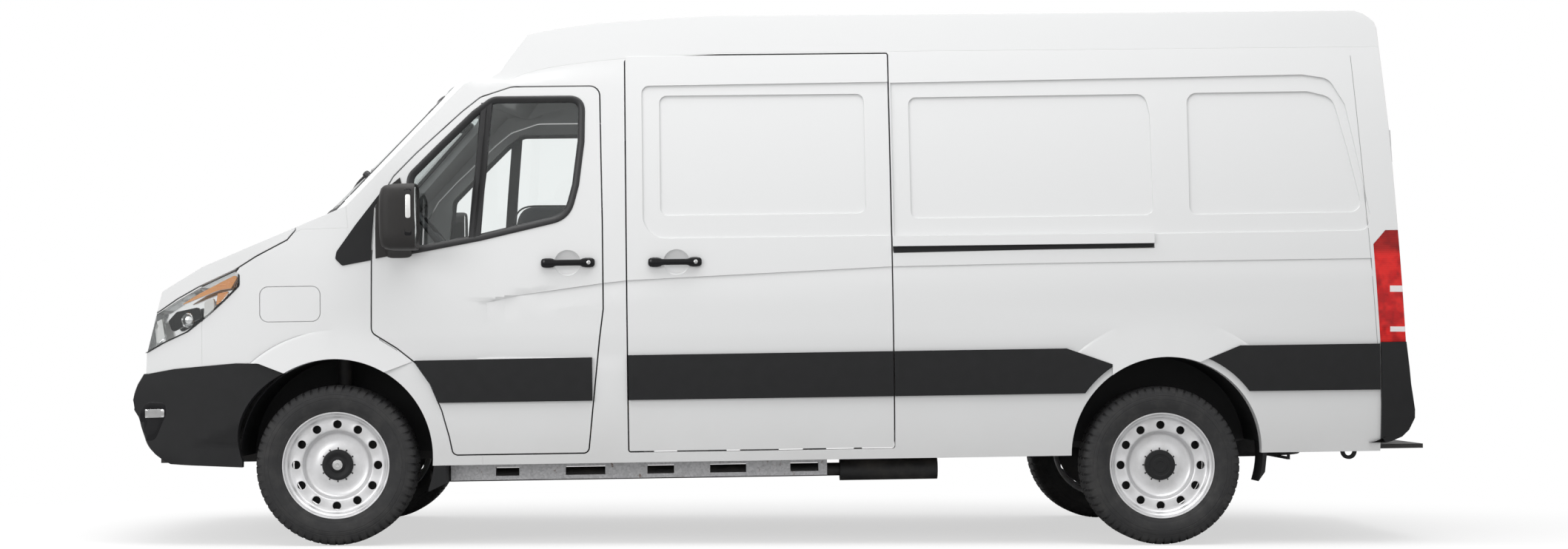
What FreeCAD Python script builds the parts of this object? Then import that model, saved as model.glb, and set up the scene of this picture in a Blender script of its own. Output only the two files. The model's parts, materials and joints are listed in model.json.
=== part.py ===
import FreeCAD
import Part
import math
import os

from FreeCAD import Placement, Rotation, Vector

doc = FreeCAD.newDocument("panel_van")
sheet = doc.addObject("Spreadsheet::Sheet", "Sizes")

# Driving dimensions in millimetres, angles in degrees. The body is drawn level, with X to the rear
# from the front axle and Z up from the ground under it, and then stands nose-down by the rake.
SIZES = (
    ("wheelbase", 3665),
    ("rake_angle", 0.9),
    ("front_reach", 1004),
    ("cab_length", 1290),
    ("slider_width", 1180),
    ("rear_reach", 1117),
    ("half_width", 986),
    ("roof_height", 2394),
    ("sill_height", 345),
    ("wall", 42),
    ("shut_gap", 6),
    ("fit_gap", 0.3),
    ("overrun", 30),
    # Crowns of the outer skin, as the fall from the middle to the half width
    ("roof_crown", 69),
    ("screen_crown", 150),
    ("nose_crown", 136),
    ("hood_crown", 42),
    ("rear_crown", 26),
    ("plan_radius", 4800),
    ("screen_angle", 45),
    ("hood_front_angle", 31),
    ("hood_rear_angle", 22.5),
    ("nose_angle", 76),
    ("chin_angle", 88),
    ("tail_lean", 2.6),
    ("tail_upper_lean", 4),
    # Wheels
    ("track_front", 1710),
    ("track_rear", 1716),
    ("tyre_radius", 353),
    ("tyre_width", 225),
    ("tyre_shoulder", 46),
    ("tyre_bulge_radius", 288),
    ("bead_width", 188),
    ("rim_radius", 232),
    ("rim_wall", 9),
    ("disc_wall", 8),
    ("disc_edge_depth", 38),
    ("bowl_radius", 150),
    ("bowl_depth", 36),
    ("wheel_hole_radius", 19),
    ("wheel_hole_ring", 180),
    ("wheel_hole_count", 12),
    ("hub_cap_radius", 68),
    ("hub_cap_depth", 32),
    ("arch_radius", 427),
    ("arch_rise", 42),
    ("arch_rise_rear", 57),
    ("arch_shift_rear", 23),
    ("liner_wall", 5),
    ("liner_depth", 340),
    ("lip_width", 30),
    # Steering and axles
    ("kingpin_inset", 95),
    ("kingpin_radius", 9),
    ("spindle_radius", 44),
    ("upright_width", 60),
    ("upright_height", 260),
    ("strut_radius", 32),
    ("strut_inset", 215),
    ("arm_height", 50),
    ("arm_width", 90),
    ("beam_radius", 42),
    ("axle_housing_radius", 135),
    ("spring_width", 66),
    ("spring_wall", 34),
    ("spring_reach", 640),
    ("spring_rise", 110),
    ("spring_inset", 560),
    # Doors, lids and panels
    ("glass_wall", 5),
    ("glass_inset", 9),
    ("seal_width", 24),
    ("seal_proud", 3),
    ("divider_width", 44),
    ("press_depth", 7),
    ("press_step", 34),
    ("strip_proud", 14),
    ("swage_depth", 9),
    ("swage_width", 84),
    ("door_half_width", 800),
    ("handle_length", 238),
    ("handle_height", 44),
    ("handle_proud", 30),
    ("handle_dish", 57),
    ("mirror_reach", 1213),
    ("mirror_width", 205),
    ("mirror_depth", 120),
    ("mirror_height", 285),
    ("hinge_pin", 7),
    ("hinge_leaf", 70),
    ("rail_proud", 12),
    ("rail_height", 46),
    ("lamp_proud", 4),
    ("grille_half", 470),
    ("slat_count", 4),
    ("slat_height", 22),
    ("bumper_proud", 14),
    ("bumper_wall", 24),
    # Floor and frame
    ("floor_height", 600),
    ("floor_wall", 34),
    ("cab_floor_height", 500),
    ("frame_half", 430),
    ("frame_width", 70),
    ("frame_depth", 110),
    ("member_width", 80),
    ("sill_rail_height", 75),
    ("sill_rail_width", 50),
    ("engine_length", 520),
    ("engine_width", 540),
    ("engine_height", 560),
    ("firewall_wall", 18),
    ("seat_width", 480),
    ("bench_width", 900),
    ("seat_depth", 470),
    ("seat_cushion", 130),
    ("seat_back", 620),
    ("seat_back_wall", 120),
    ("wheel_rim_radius", 200),
    ("wheel_rim_wall", 15),
    ("column_radius", 36),
    ("column_angle", 52),
    ("step_half", 720),
    ("step_length", 360),
    ("step_wall", 20),
    ("spare_drop", 300),
    ("tray_wall", 12),
    ("hinge_bore_gap", 0.05),
    ("rail_length", 1171),
    ("rail_slot_height", 22),
    ("rail_slot_depth", 16),
    ("flap_leaf", 6),
    ("flap_rest", 14),
    ("flap_pocket_depth", 32),
    ("filler_radius", 34),
    ("filler_height", 18),
    ("mud_flap_inset", 190),
    ("tow_ring_radius", 37),
    ("tow_ring_bore", 20),
    ("tow_ring_wall", 18),
    ("tow_ring_y", 300),
    ("sill_slot_height", 38),
    ("silencer_radius", 52),
    ("silencer_y", 560),
    ("pipe_radius", 30),
    ("flare_proud", 14),
    ("front_flare_radius", 554),
    ("rear_flare_radius", 603),
    ("hinge_relief", 6),
    ("front_liner_depth", 415),
    ("hinge_barrel", 14),
    ("hinge_arm_wall", 12),
    ("door_hinge_set", 80),
    ("door_hinge_sink", 17),
    ("door_hinge_pin", 5),
    ("door_hinge_eye", 9),
    ("door_hinge_lean", 2.3),
    ("rear_hinge_proud", 20),
    ("rear_hinge_lean", 2.6),
    ("hood_hinge_x", 150),
    ("hood_hinge_z", 1424),
    ("hood_hinge_y", 700),
)
for row, (name, value) in enumerate(SIZES, start=1):
    sheet.set(f"A{row}", name)
    sheet.set(f"B{row}", str(value))
    sheet.setAlias(f"B{row}", name)
doc.recompute()


class Lengths:
    """The sheet's numbers, read back under their own names."""


mm = Lengths()
for name, value in SIZES:
    setattr(mm, name, float(sheet.get(name)))

slider_rear = mm.cab_length + mm.slider_width
tail = mm.wheelbase + mm.rear_reach
rake = math.radians(mm.rake_angle)
rear_axle = Vector(mm.wheelbase * math.cos(rake), 0, mm.tyre_radius - mm.wheelbase * math.sin(rake))
front_axle = Vector(0, 0, mm.tyre_radius)
front_arch = Vector(0, 0, mm.tyre_radius + mm.arch_rise)
rear_arch = rear_axle + Vector(mm.arch_shift_rear, 0, mm.arch_rise_rear)
far = 2 * mm.wheelbase

# The side's profile from sill to roof, as shares of the half width and the roof height. Every second
# point is the middle of an arc, and the last run is straight past the roof.
SIDE_SHARES = ((0.958, 0.144), (0.985, 0.215), (0.998, 0.3425), (1.0, 0.43), (0.986, 0.564),
               (0.955, 0.71), (0.895, 0.906), (0.857, 1.03))


# Sides of the many-sided round parts
TYRE_SIDES = 64
RIM_SIDES = 48
BOWL_SIDES = 24
VENT_SIDES = 8

# Drawing helpers

def run(points):
    """A straight edge through two points or an arc through three."""
    if len(points) == 2:
        return Part.LineSegment(*points).toShape()
    return Part.Arc(*points).toShape()


PLANES = {
    "xz": (lambda a, b: Vector(a, 0, b), Vector(0, 1, 0)),
    "xy": (lambda a, b: Vector(a, b, 0), Vector(0, 0, 1)),
    "yz": (lambda a, b: Vector(0, a, b), Vector(1, 0, 0)),
}


def outline(points, plane):
    """A closed wire through the points, each with an optional corner radius as its third value."""
    place = PLANES[plane][0]
    spots = [place(p[0], p[1]) for p in points]
    count = len(spots)
    ends = []
    for i, spot in enumerate(spots):
        radius = points[i][2] if len(points[i]) > 2 else 0
        if radius <= 0:
            ends.append((spot, spot, None))
            continue
        before, after = spots[i - 1] - spot, spots[(i + 1) % count] - spot
        room = min(before.Length, after.Length) / 2
        before.normalize()
        after.normalize()
        half = before.getAngle(after) / 2
        reach = min(radius / math.tan(half), room * 0.98)
        inward = (before + after).normalize()
        centre = spot + inward * (reach / math.cos(half))
        middle = centre - inward * (reach * math.tan(half))
        ends.append((spot + before * reach, spot + after * reach, middle))
    edges = []
    for i, (start, end, middle) in enumerate(ends):
        if middle:
            edges.append(run([start, middle, end]))
        following = ends[(i + 1) % count][0]
        if end.distanceToPoint(following) > mm.fit_gap / 10:
            edges.append(run([end, following]))
    return Part.Wire(edges)


def prism(points, plane, start, end, grow=0):
    """The outline, grown by a margin, swept from start to end along the plane's normal."""
    face = Part.Face(outline(points, plane))
    if grow:
        face = face.makeOffset2D(grow)
    normal = PLANES[plane][1]
    face.translate(normal * start)
    return face.extrude(normal * (end - start))


def drum(centre, radius, start, end):
    """A cylinder across the van."""
    return Part.makeCylinder(radius, end - start, Vector(centre.x, start, centre.z), Vector(0, 1, 0))


def block(low, high):
    """A box between two corners."""
    size = high - low
    return Part.makeBox(size.x, size.y, size.z, low)


def both_sides(shape):
    """The shape with its mirror image across the middle plane."""
    return Part.makeCompound([shape, shape.mirror(Vector(), Vector(0, 1, 0))])


def solids(shape):
    """The shape's solids as one compound, or the one solid by itself."""
    parts = shape.Solids
    return parts[0] if len(parts) == 1 else Part.makeCompound(parts)


def cab(shares, grow=0):
    """Cab points from shares: along the front reach before the axle, the cab length behind it, and up."""
    points = []
    for along, up, *radius in shares:
        length = mm.front_reach if along < 0 else mm.cab_length
        corner = [share * mm.cab_length for share in radius]
        points.append((along * length, up * mm.roof_height, *corner))
    return points


def cargo(shares):
    """Load-space points from shares of the panel behind the sliding door and of the roof height."""
    length = tail - slider_rear
    return [(slider_rear + along * length, up * mm.roof_height, *[r * length for r in radius])
            for along, up, *radius in shares]


# The outer skin and its inset copies

def crowned_block(x, z, slope, crown, depth, curved=True):
    """The space under a skin that runs through (x, z) at a slope and falls to both sides by its crown.

    The crown is an arc, or four chords of it where curved is False."""
    reach = mm.half_width * 1.2
    spots = [Vector(0, share * reach, -crown * (share * reach / mm.half_width) ** 2)
             for share in (-1, -0.5, 0, 0.5, 1)]
    low_right, low_left = Vector(0, reach, -far), Vector(0, -reach, -far)
    top = [run([spots[0], spots[2], spots[4]])] if curved else [run(pair) for pair in zip(spots, spots[1:])]
    section = Part.Face(Part.Wire(top + [run([spots[4], low_right]), run([low_right, low_left]),
                                         run([low_left, spots[0]])]))
    shape = section.extrude(Vector(2 * far, 0, 0))
    shape.translate(Vector(-far, 0, -depth))
    shape.Placement = Placement(Vector(x, 0, z), Rotation(Vector(0, 1, 0), -slope)).multiply(shape.Placement)
    return shape


def cab_skin(name, depth=0):
    """One named surface of the nose and cab as a crowned block."""
    table = {
        "chin": (-0.945, 0.325, mm.chin_angle, mm.nose_crown),
        "nose": (-0.922, 0.397, mm.nose_angle, mm.nose_crown),
        "hood_front": (-0.697, 0.505, mm.hood_front_angle, mm.hood_crown),
        "hood_rear": (-0.349, 0.5735, mm.hood_rear_angle, mm.hood_crown),
        "screen": (0.046, 0.711, mm.screen_angle, mm.screen_crown),
    }
    along, up, slope, crown = table[name]
    length = mm.front_reach if along < 0 else mm.cab_length
    return crowned_block(along * length, up * mm.roof_height, slope, crown, depth)


def side_skin(depth, bottom, curved=True):
    """The space between the two sides, drawn in by the depth, on arcs or on their flat chords."""

    def bend(points):
        return run(points) if curved else run([points[0], points[2]])

    right = [Vector(-far, y * mm.half_width - depth, z * mm.roof_height) for y, z in SIDE_SHARES]
    left = [Vector(p.x, -p.y, p.z) for p in right]
    foot_right = Vector(-far, right[0].y, bottom)
    foot_left = Vector(-far, left[0].y, bottom)
    wire = Part.Wire([run([foot_right, right[0]]), bend(right[0:3]), bend(right[2:5]), bend(right[4:7]),
                      run(right[6:8]), run([right[7], left[7]]), run([left[7], left[6]]),
                      bend(left[6:3:-1]), bend(left[4:1:-1]), bend(left[2::-1]),
                      run([left[0], foot_left]), run([foot_left, foot_right])])
    tube = Part.Face(wire).extrude(Vector(3 * far, 0, 0))
    reach = mm.front_reach * 1.3
    edge = mm.half_width - depth
    drawn = [Vector(-t * reach, edge - (t * reach) ** 2 / (2 * mm.plan_radius), 0) for t in (1, 0.5, 0)]
    other = [Vector(p.x, -p.y, 0) for p in drawn]
    back, other_back = Vector(far, edge, 0), Vector(far, -edge, 0)
    plan = Part.Face(Part.Wire([bend(drawn), run([drawn[2], back]), run([back, other_back]),
                                run([other_back, other[2]]), bend(other[::-1]), run([other[0], drawn[0]])]))
    plan.translate(Vector(0, 0, bottom - mm.overrun))
    return tube.common(plan.extrude(Vector(0, 0, far)))


def envelope(depth, bottom, curved=True):
    """The whole closed body form, drawn in by the depth."""
    cowl_x = -0.21 * mm.front_reach
    nose = block(Vector(-2 * mm.front_reach, -far, bottom), Vector(0.3 * mm.cab_length, far, mm.roof_height))
    for name in ("chin", "nose", "hood_front", "hood_rear"):
        nose = nose.common(cab_skin(name, depth))
    cabin = block(Vector(cowl_x + depth, -far, bottom), Vector(far, far, 2 * mm.roof_height))
    cabin = cabin.common(cab_skin("screen", depth))
    cabin = cabin.common(crowned_block(mm.wheelbase, mm.roof_height, 0, mm.roof_crown, depth))
    cabin = cabin.common(crowned_block(tail, 0.437 * mm.roof_height, mm.tail_lean - 90, mm.rear_crown, depth))
    cabin = cabin.common(crowned_block(tail - 0.013 * mm.roof_height, 0.73 * mm.roof_height,
                                       mm.tail_upper_lean - 90, mm.rear_crown, depth))
    whole = nose.fuse(cabin).common(side_skin(depth, bottom - mm.overrun, curved))
    return whole.removeSplitter()


outer = envelope(0, mm.sill_height)
inner = envelope(mm.wall, mm.sill_height - 2 * mm.overrun, False)
room = envelope(mm.wall + mm.fit_gap, mm.sill_height - 2 * mm.overrun, False)
shell = outer.cut(inner)

# Where panels meet, as shares of the cab
DOOR_SHARES = ((0.128, 0.391, 0.03), (0.13, 0.527), (0.141, 0.622), (0.205, 0.68), (0.281, 0.722),
               (0.437, 0.799), (0.502, 0.827, 0.05), (0.61, 0.846, 0.08), (0.913, 0.846, 0.035),
               (0.919, 0.583), (0.919, 0.429), (0.905, 0.373), (0.863, 0.163, 0.02),
               (0.4, 0.163, 0.02), (0.388, 0.197), (0.364, 0.246), (0.327, 0.295), (0.277, 0.334),
               (0.213, 0.362))
WINDOW_SHARES = ((0.233, 0.537, 0.02), (0.262, 0.681, 0.03), (0.364, 0.736), (0.481, 0.797, 0.04),
                 (0.545, 0.823, 0.05), (0.853, 0.823, 0.045), (0.85, 0.742), (0.83, 0.66),
                 (0.8, 0.6, 0.08), (0.498, 0.563))
SAIL_SHARES = ((0.159, 0.649), (0.075, 0.59), (0.011, 0.541, 0.01), (0.007, 0.528, 0.01),
               (0.03, 0.515, 0.01), (0.133, 0.525), (0.255, 0.538))
LAMP_SHARES = ((-1.1, 0.358), (-0.83, 0.358, 0.01), (-0.748, 0.377), (-0.64, 0.397, 0.02),
               (-0.541, 0.429), (-0.474, 0.454), (-0.41, 0.48, 0.02), (-0.41, 0.502, 0.01),
               (-0.43, 0.507), (-0.5, 0.494), (-0.594, 0.476), (-0.687, 0.455), (-0.774, 0.432),
               (-1.1, 0.43))
HOOD_SHARES = ((-1.1, 0.431), (-0.774, 0.433), (-0.687, 0.457), (-0.594, 0.478), (-0.5, 0.496),
               (-0.43, 0.509), (-0.337, 0.533), (-0.2, 0.563), (-0.15, 0.588), (-0.1, 0.75), (-1.1, 0.75))
WING_SHARES = ((-0.63, 0.3), (-0.61, 0.37), (-0.622, 0.39), (-0.4, 0.52), (-0.2, 0.64), (0.025, 0.6),
               (0.05, 0.578), (0.16, 0.56), (0.5, 0.4), (0.5, 0.1), (-0.63, 0.1))
BUMPER_SHARES = ((-1.1, 0.318), (-0.819, 0.321), (-0.707, 0.329), (-0.589, 0.333), (-0.43, 0.338, 0.04),
                 (-0.33, 0.337, 0.03), (-0.215, 0.318), (-0.281, 0.299), (-0.328, 0.277),
                 (-0.362, 0.253), (-0.386, 0.228), (-0.403, 0.197), (-0.408, 0.1), (-1.1, 0.1))
RECESS_SHARES = ((0.004, 0.846), (0.555, 0.851), (0.81, 0.854, 0.02), (0.862, 0.846, 0.03),
                 (0.891, 0.797), (0.906, 0.719), (0.93, 0.589, 0.01), (0.925, 0.557, 0.02),
                 (0.56, 0.556), (0.004, 0.556))
BLANK_ONE_SHARES = ((0.038, 0.818, 0.015), (0.5, 0.82, 0.02), (0.508, 0.78), (0.508, 0.591, 0.015),
                    (0.038, 0.59, 0.015))
BLANK_TWO_SHARES = ((0.582, 0.821, 0.02), (0.82, 0.822, 0.03), (0.868, 0.81, 0.03), (0.892, 0.713),
                    (0.918, 0.592, 0.02), (0.579, 0.591, 0.015))
SWAGE_CAB_SHARES = ((0.52, 0.444), (0.63, 0.456), (0.913, 0.476), (1.005, 0.481))
SWAGE_CARGO_SHARES = ((0, 0.5005), (0.28, 0.503), (0.93, 0.5045))

ditch = 0.906 * mm.roof_height
door = cab(DOOR_SHARES)
window = cab(WINDOW_SHARES)
lamp = cab(LAMP_SHARES)
hood_edge = cab(HOOD_SHARES)
slider = [(mm.cab_length, 0.164 * mm.roof_height, 10), (mm.cab_length, 0.903 * mm.roof_height, 10),
          (slider_rear, 0.903 * mm.roof_height, 10), (slider_rear, 0.164 * mm.roof_height, 10)]
lamp_top = 0.557 * mm.roof_height
lamp_foot = 0.3475 * mm.roof_height
tail_lamp = [(tail - 0.055 * mm.roof_height, lamp_foot), (tail + mm.wall, lamp_foot),
             (tail + mm.wall, lamp_top), (tail - 0.04 * mm.roof_height, lamp_top),
             (tail - 0.0635 * mm.roof_height, lamp_top - 0.026 * mm.roof_height)]
rear_door_foot = 0.255 * mm.roof_height
rear_door_head = 0.938 * mm.roof_height

# Sketches whose corners follow the sheet

class Size:
    """A length that keeps the sheet formula behind its value."""

    def __init__(self, value, formula=None):
        self.value = float(value)
        self.formula = formula or repr(float(value))

    def join(self, other, sign, value):
        return Size(value, f"({self.formula} {sign} {other.formula})")

    def __add__(self, other):
        return self.join(other, "+", self.value + other.value)

    def __sub__(self, other):
        return self.join(other, "-", self.value - other.value)

    def __mul__(self, scale):
        return self.join(Size(scale), "*", self.value * scale)

    def __neg__(self):
        return self * -1


class Bound:
    """Sizes by name, each as a Size bound to its cell."""

    def __getattr__(self, name):
        return Size(getattr(mm, name), f"Sizes.{name}")


to = Bound()
none = Size(0)


def piece(label, shape):
    """A node from a finished shape."""
    item = doc.addObject("Part::Feature", label)
    item.Label = label
    item.Shape = solids(shape)
    return item


def primitive(kind, label, place=None, **sizes):
    """A Part primitive with its sizes tied to the sheet."""
    item = doc.addObject(kind, label)
    item.Label = label
    for prop, size in sizes.items():
        setattr(item, prop, size.value)
        if "Sizes" in size.formula:
            item.setExpression(prop, size.formula)
    if place:
        for axis, size in zip("xyz", place):
            setattr(item.Placement.Base, axis, size.value)
            if "Sizes" in size.formula:
                item.setExpression(f"Placement.Base.{axis}", size.formula)
    return item


def joined(label, items):
    """The items fused into one feature."""
    item = doc.addObject("Part::MultiFuse", label)
    item.Label = label
    item.Shapes = items
    return item


def faceted(profile, sides):
    """A many-sided ring about Z, its section the outline of (radius, height) points, its flats at the radius."""
    turns = [2 * math.pi * (i + 0.5) / sides for i in range(sides + 1)]
    loops = [[Vector(math.cos(t), math.sin(t)) * (radius / math.cos(math.pi / sides)) + Vector(0, 0, height)
              for t in turns] for radius, height in profile]
    flats = []
    for loop, following in zip(loops, loops[1:] + loops[:1]):
        for i in range(sides):
            flats.append(Part.Face(Part.makePolygon([loop[i], loop[i + 1], following[i + 1], following[i], loop[i]])))
    solid = Part.Solid(Part.Shell(flats))
    return solid if solid.Volume > 0 else solid.reversed()


def many_sided(radius, low, high, sides):
    """A many-sided bar along Z as a bare shape."""
    turns = [2 * math.pi * (i + 0.5) / sides for i in range(sides)]
    spots = [Vector(radius * math.cos(t), radius * math.sin(t), low) for t in turns]
    return Part.Face(Part.makePolygon(spots + spots[:1])).extrude(Vector(0, 0, high - low))


# Panels

gap = mm.shut_gap / 2
pressings = [prism(cargo(RECESS_SHARES), "xz", -far, far).cut(side_skin(mm.press_depth, 0)),
             prism(cargo(BLANK_ONE_SHARES), "xz", -far, far).cut(side_skin(2 * mm.press_depth, 0)),
             prism(cargo(BLANK_TWO_SHARES), "xz", -far, far).cut(side_skin(2 * mm.press_depth, 0))]
slider_recess = [(mm.cab_length + 2.2 * mm.press_step, 0.845 * mm.roof_height, mm.press_step),
                 (slider_rear - gap, 0.848 * mm.roof_height), (slider_rear - gap, 0.5585 * mm.roof_height),
                 (mm.cab_length + 2.2 * mm.press_step, 0.5585 * mm.roof_height, 3 * mm.press_step)]
slider_blank = [(mm.cab_length + 4.5 * mm.press_step, 0.826 * mm.roof_height, mm.press_step),
                (slider_rear - 3.3 * mm.press_step, 0.826 * mm.roof_height, mm.press_step),
                (slider_rear - 3.3 * mm.press_step, 0.601 * mm.roof_height, mm.press_step),
                (mm.cab_length + 4.5 * mm.press_step, 0.601 * mm.roof_height, mm.press_step)]
pressings.append(prism(slider_recess, "xz", -far, far).cut(side_skin(mm.press_depth, 0)))
pressings.append(prism(slider_blank, "xz", -far, far).cut(side_skin(2 * mm.press_depth, 0)))


def swage_groove():
    """The wedge below the side's feature line, as straight runs between its points."""
    edge = mm.half_width - mm.swage_depth
    out = mm.half_width + mm.wall
    groove = []
    line = cab(SWAGE_CAB_SHARES) + cargo(SWAGE_CARGO_SHARES)
    for (x, z), (next_x, next_z) in zip(line, line[1:]):
        low = z - mm.swage_width
        corners = [Vector(x, out, z), Vector(x, edge, z), Vector(x, mm.half_width, low), Vector(x, out, low)]
        face = Part.Face(Part.makePolygon(corners + corners[:1]))
        groove.append(face.extrude(Vector(next_x - x, 0, next_z - z)))
    return both_sides(groove[0].fuse(groove[1:]))


pressings.append(swage_groove())

# Rub strips along the sides, and the arch flares above them
STRIP_SHARES = ((0.17, 0.3175), (0.277, 0.3385), (0.879, 0.34), (0.879, 0.26), (0.3, 0.26), (0.25, 0.3))
CARGO_STRIP_SHARES = ((0, 0.343), (0.746, 0.344), (0.824, 0.3133), (0.824, 0.26), (0, 0.26))
REAR_STRIP_SHARES = ((0.154, 0.3154), (0.316, 0.345), (0.877, 0.345), (0.877, 0.259), (0.154, 0.26))
strip_cab = cab(STRIP_SHARES)
strip_cargo = [(mm.cab_length + x * (mm.wheelbase - mm.cab_length) * 1.1, z * mm.roof_height)
               for x, z in CARGO_STRIP_SHARES]
strip_rear = [(mm.wheelbase + x * mm.rear_reach, z * mm.roof_height) for x, z in REAR_STRIP_SHARES]
strips = [prism(line, "xz", -far, far) for line in (strip_cab, strip_cargo, strip_rear)]


def flare(centre, radius):
    """The flare round an arch: a shallow cone standing off both sides, above the strips."""
    cone = Part.makeCone(radius, mm.arch_radius, mm.flare_proud, Vector(centre.x, mm.half_width, centre.z),
                         Vector(0, 1, 0))
    cone = cone.cut(strips + [block(Vector(-far, 0, 0), Vector(far, far, centre.z))])
    return both_sides(cone)


bumper_zone = prism(cab(BUMPER_SHARES), "xz", -far, far)
flares = flare(front_arch, mm.front_flare_radius).cut(bumper_zone).Solids
flares += flare(rear_arch, mm.rear_flare_radius).Solids
skin = outer.cut(pressings).multiFuse(flares)

# Zones of the shell, each across the whole width
hood_zone = prism(hood_edge, "xz", -far, far)
hood_plan = [(-far, -far), (-0.162 * mm.front_reach, -far), (-0.162 * mm.front_reach, -0.82 * mm.half_width),
             (-0.226 * mm.front_reach, -0.3 * mm.half_width), (-0.226 * mm.front_reach, 0.3 * mm.half_width),
             (-0.162 * mm.front_reach, 0.82 * mm.half_width), (-0.162 * mm.front_reach, far), (-far, far)]
hood_zone = hood_zone.common(prism(hood_plan, "xy", 0, far))
door_zone = prism(door, "xz", -far, far, gap)
slider_zone = prism(slider, "xz", -far, far, gap)
lamp_half = 0.5 * mm.half_width
lamp_zone = prism(lamp, "xz", -far, far).cut(block(Vector(-far, -lamp_half, 0), Vector(far, lamp_half, far)))
COWL_SHARES = ((-0.3, 0.55), (-0.3, 0.6385), (0.04, 0.6385), (0.05, 0.585), (-0.14, 0.583))
cowl_zone = prism(cab(COWL_SHARES), "xz", -far, far)
wing_zone = prism(cab(WING_SHARES), "xz", -far, far)
FASCIA_SHARES = ((-1.1, 0.2), (-0.58, 0.2), (-0.58, 0.55), (-1.1, 0.55))
fascia_zone = prism(cab(FASCIA_SHARES), "xz", -far, far)
ROOF_SHARES = ((0.345, 0.8495), (0.465, 0.881), (0.643, 0.904), (0.72, 0.906))
roof_line = cab(ROOF_SHARES) + [(far, ditch), (far, far), (-far, far), (-far, 0.8495 * mm.roof_height)]
roof_zone = prism(roof_line, "xz", -far, far)
rear_opening = block(Vector(tail - 2.2 * mm.half_width / 10, -mm.door_half_width, rear_door_foot),
                     Vector(far, mm.door_half_width, rear_door_head))
tail_zone = block(Vector(tail - mm.door_half_width / 2, -far, 0), Vector(far, far, rear_door_foot))
tail_corner = block(Vector(tail - 0.055 * mm.roof_height, mm.door_half_width + gap, 0),
                    Vector(far, far, lamp_foot))
bumper_rear_zone = block(Vector(tail - 0.055 * mm.roof_height, -far, 0), Vector(far, far, rear_door_foot - gap))
bumper_rear_zone = bumper_rear_zone.fuse([tail_corner, tail_corner.mirror(Vector(), Vector(0, 1, 0))])
tail_lamp_zone = prism(tail_lamp, "xz", -far, far)
tail_lamp_zone = tail_lamp_zone.cut(block(Vector(0, -mm.door_half_width - gap, 0),
                                          Vector(far, mm.door_half_width + gap, far)))
arches = [drum(front_arch, mm.arch_radius, -far, far), drum(rear_arch, mm.arch_radius, -far, far)]
GLASS_SHARES = ((-0.83, 0.628, 0.05), (-0.71, 0.86, 0.06), (0.71, 0.86, 0.06), (0.83, 0.628, 0.05))
glass_line = [(y * mm.half_width, z * mm.roof_height, r * mm.half_width) for y, z, r in GLASS_SHARES]
seat_gap = mm.seal_width
screen_hole = prism(glass_line, "yz", -far, mm.cab_length / 2, -seat_gap)
screen_rebate = prism(glass_line, "yz", -far, mm.cab_length / 2).cut(
    cab_skin("screen", mm.glass_wall + mm.seal_proud))
grille_hole = block(Vector(-far, -mm.grille_half, 0.337 * mm.roof_height),
                    Vector(0, mm.grille_half, 0.415 * mm.roof_height))

shell = skin.cut(inner)
rail_foot = 0.538 * mm.roof_height
rail_front = slider_rear + gap
rail_slot = block(Vector(rail_front, 0, rail_foot - mm.rail_slot_height),
                  Vector(rail_front + mm.rail_length, far, rail_foot)).cut(side_skin(mm.rail_slot_depth, 0))
left = block(Vector(-far, -far, 0), Vector(far, 0, far))
hood = shell.common(hood_zone)
rest = shell.cut([hood_zone, door_zone, slider_zone, lamp_zone, bumper_zone, rear_opening,
                  bumper_rear_zone, tail_lamp_zone] + arches + [screen_hole, screen_rebate])
roof = rest.common(roof_zone)
rest = rest.cut(roof_zone)
cowl = rest.common(cowl_zone)
rest = rest.cut(cowl_zone)
fascia = rest.common(fascia_zone)
rest = rest.cut(fascia_zone)
FLAP_SHARES = ((-0.324, 0.4125, 0.03), (-0.324, 0.4785, 0.03), (-0.056, 0.4785, 0.03), (-0.056, 0.4125, 0.03))
flap_line = cab(FLAP_SHARES)
flap_pocket = prism(flap_line, "xz", -far, 0).cut(side_skin(mm.flap_leaf + mm.fit_gap, 0))
flap_well = prism(flap_line, "xz", -far, 0, -mm.flap_rest).cut(side_skin(mm.flap_pocket_depth, 0))
hood_slot_half = mm.hinge_arm_wall / 2 + mm.shut_gap
hood_slot = block(Vector(-2 * mm.hood_hinge_x, mm.hood_hinge_y - hood_slot_half, 0),
                  Vector(-mm.hood_hinge_x + mm.hinge_leaf / 2, mm.hood_hinge_y + hood_slot_half, far))
hinge_relief = prism(door, "xz", -far, far, gap + mm.hinge_relief).common(both_sides(
    block(Vector(0.155 * mm.cab_length, mm.half_width - mm.hinge_arm_wall, 0.35 * mm.roof_height),
          Vector(0.215 * mm.cab_length, far, 0.39 * mm.roof_height))))
wings = rest.common(wing_zone).cut([both_sides(hood_slot), flap_pocket, flap_well, hinge_relief])
sides = rest.cut([wing_zone, both_sides(rail_slot)])
fascia = fascia.cut(grille_hole)


def biggest(shape, count):
    """The shape's largest solids, without the slivers that a zone's edge leaves."""
    return Part.makeCompound(sorted(shape.Solids, key=lambda solid: -solid.Volume)[:count])


def of_side(shape, side):
    """The part of a shape on one side of the middle: -1 is the left and +1 the right."""
    half = left if side < 0 else left.mirror(Vector(), Vector(0, 1, 0))
    return shape.common(half)


def skin_layer(proud, sunk=0):
    """A layer on the sides from a depth in the wall to a height outside it."""
    return side_skin(-proud, 0).cut(side_skin(sunk, -mm.overrun))


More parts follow.
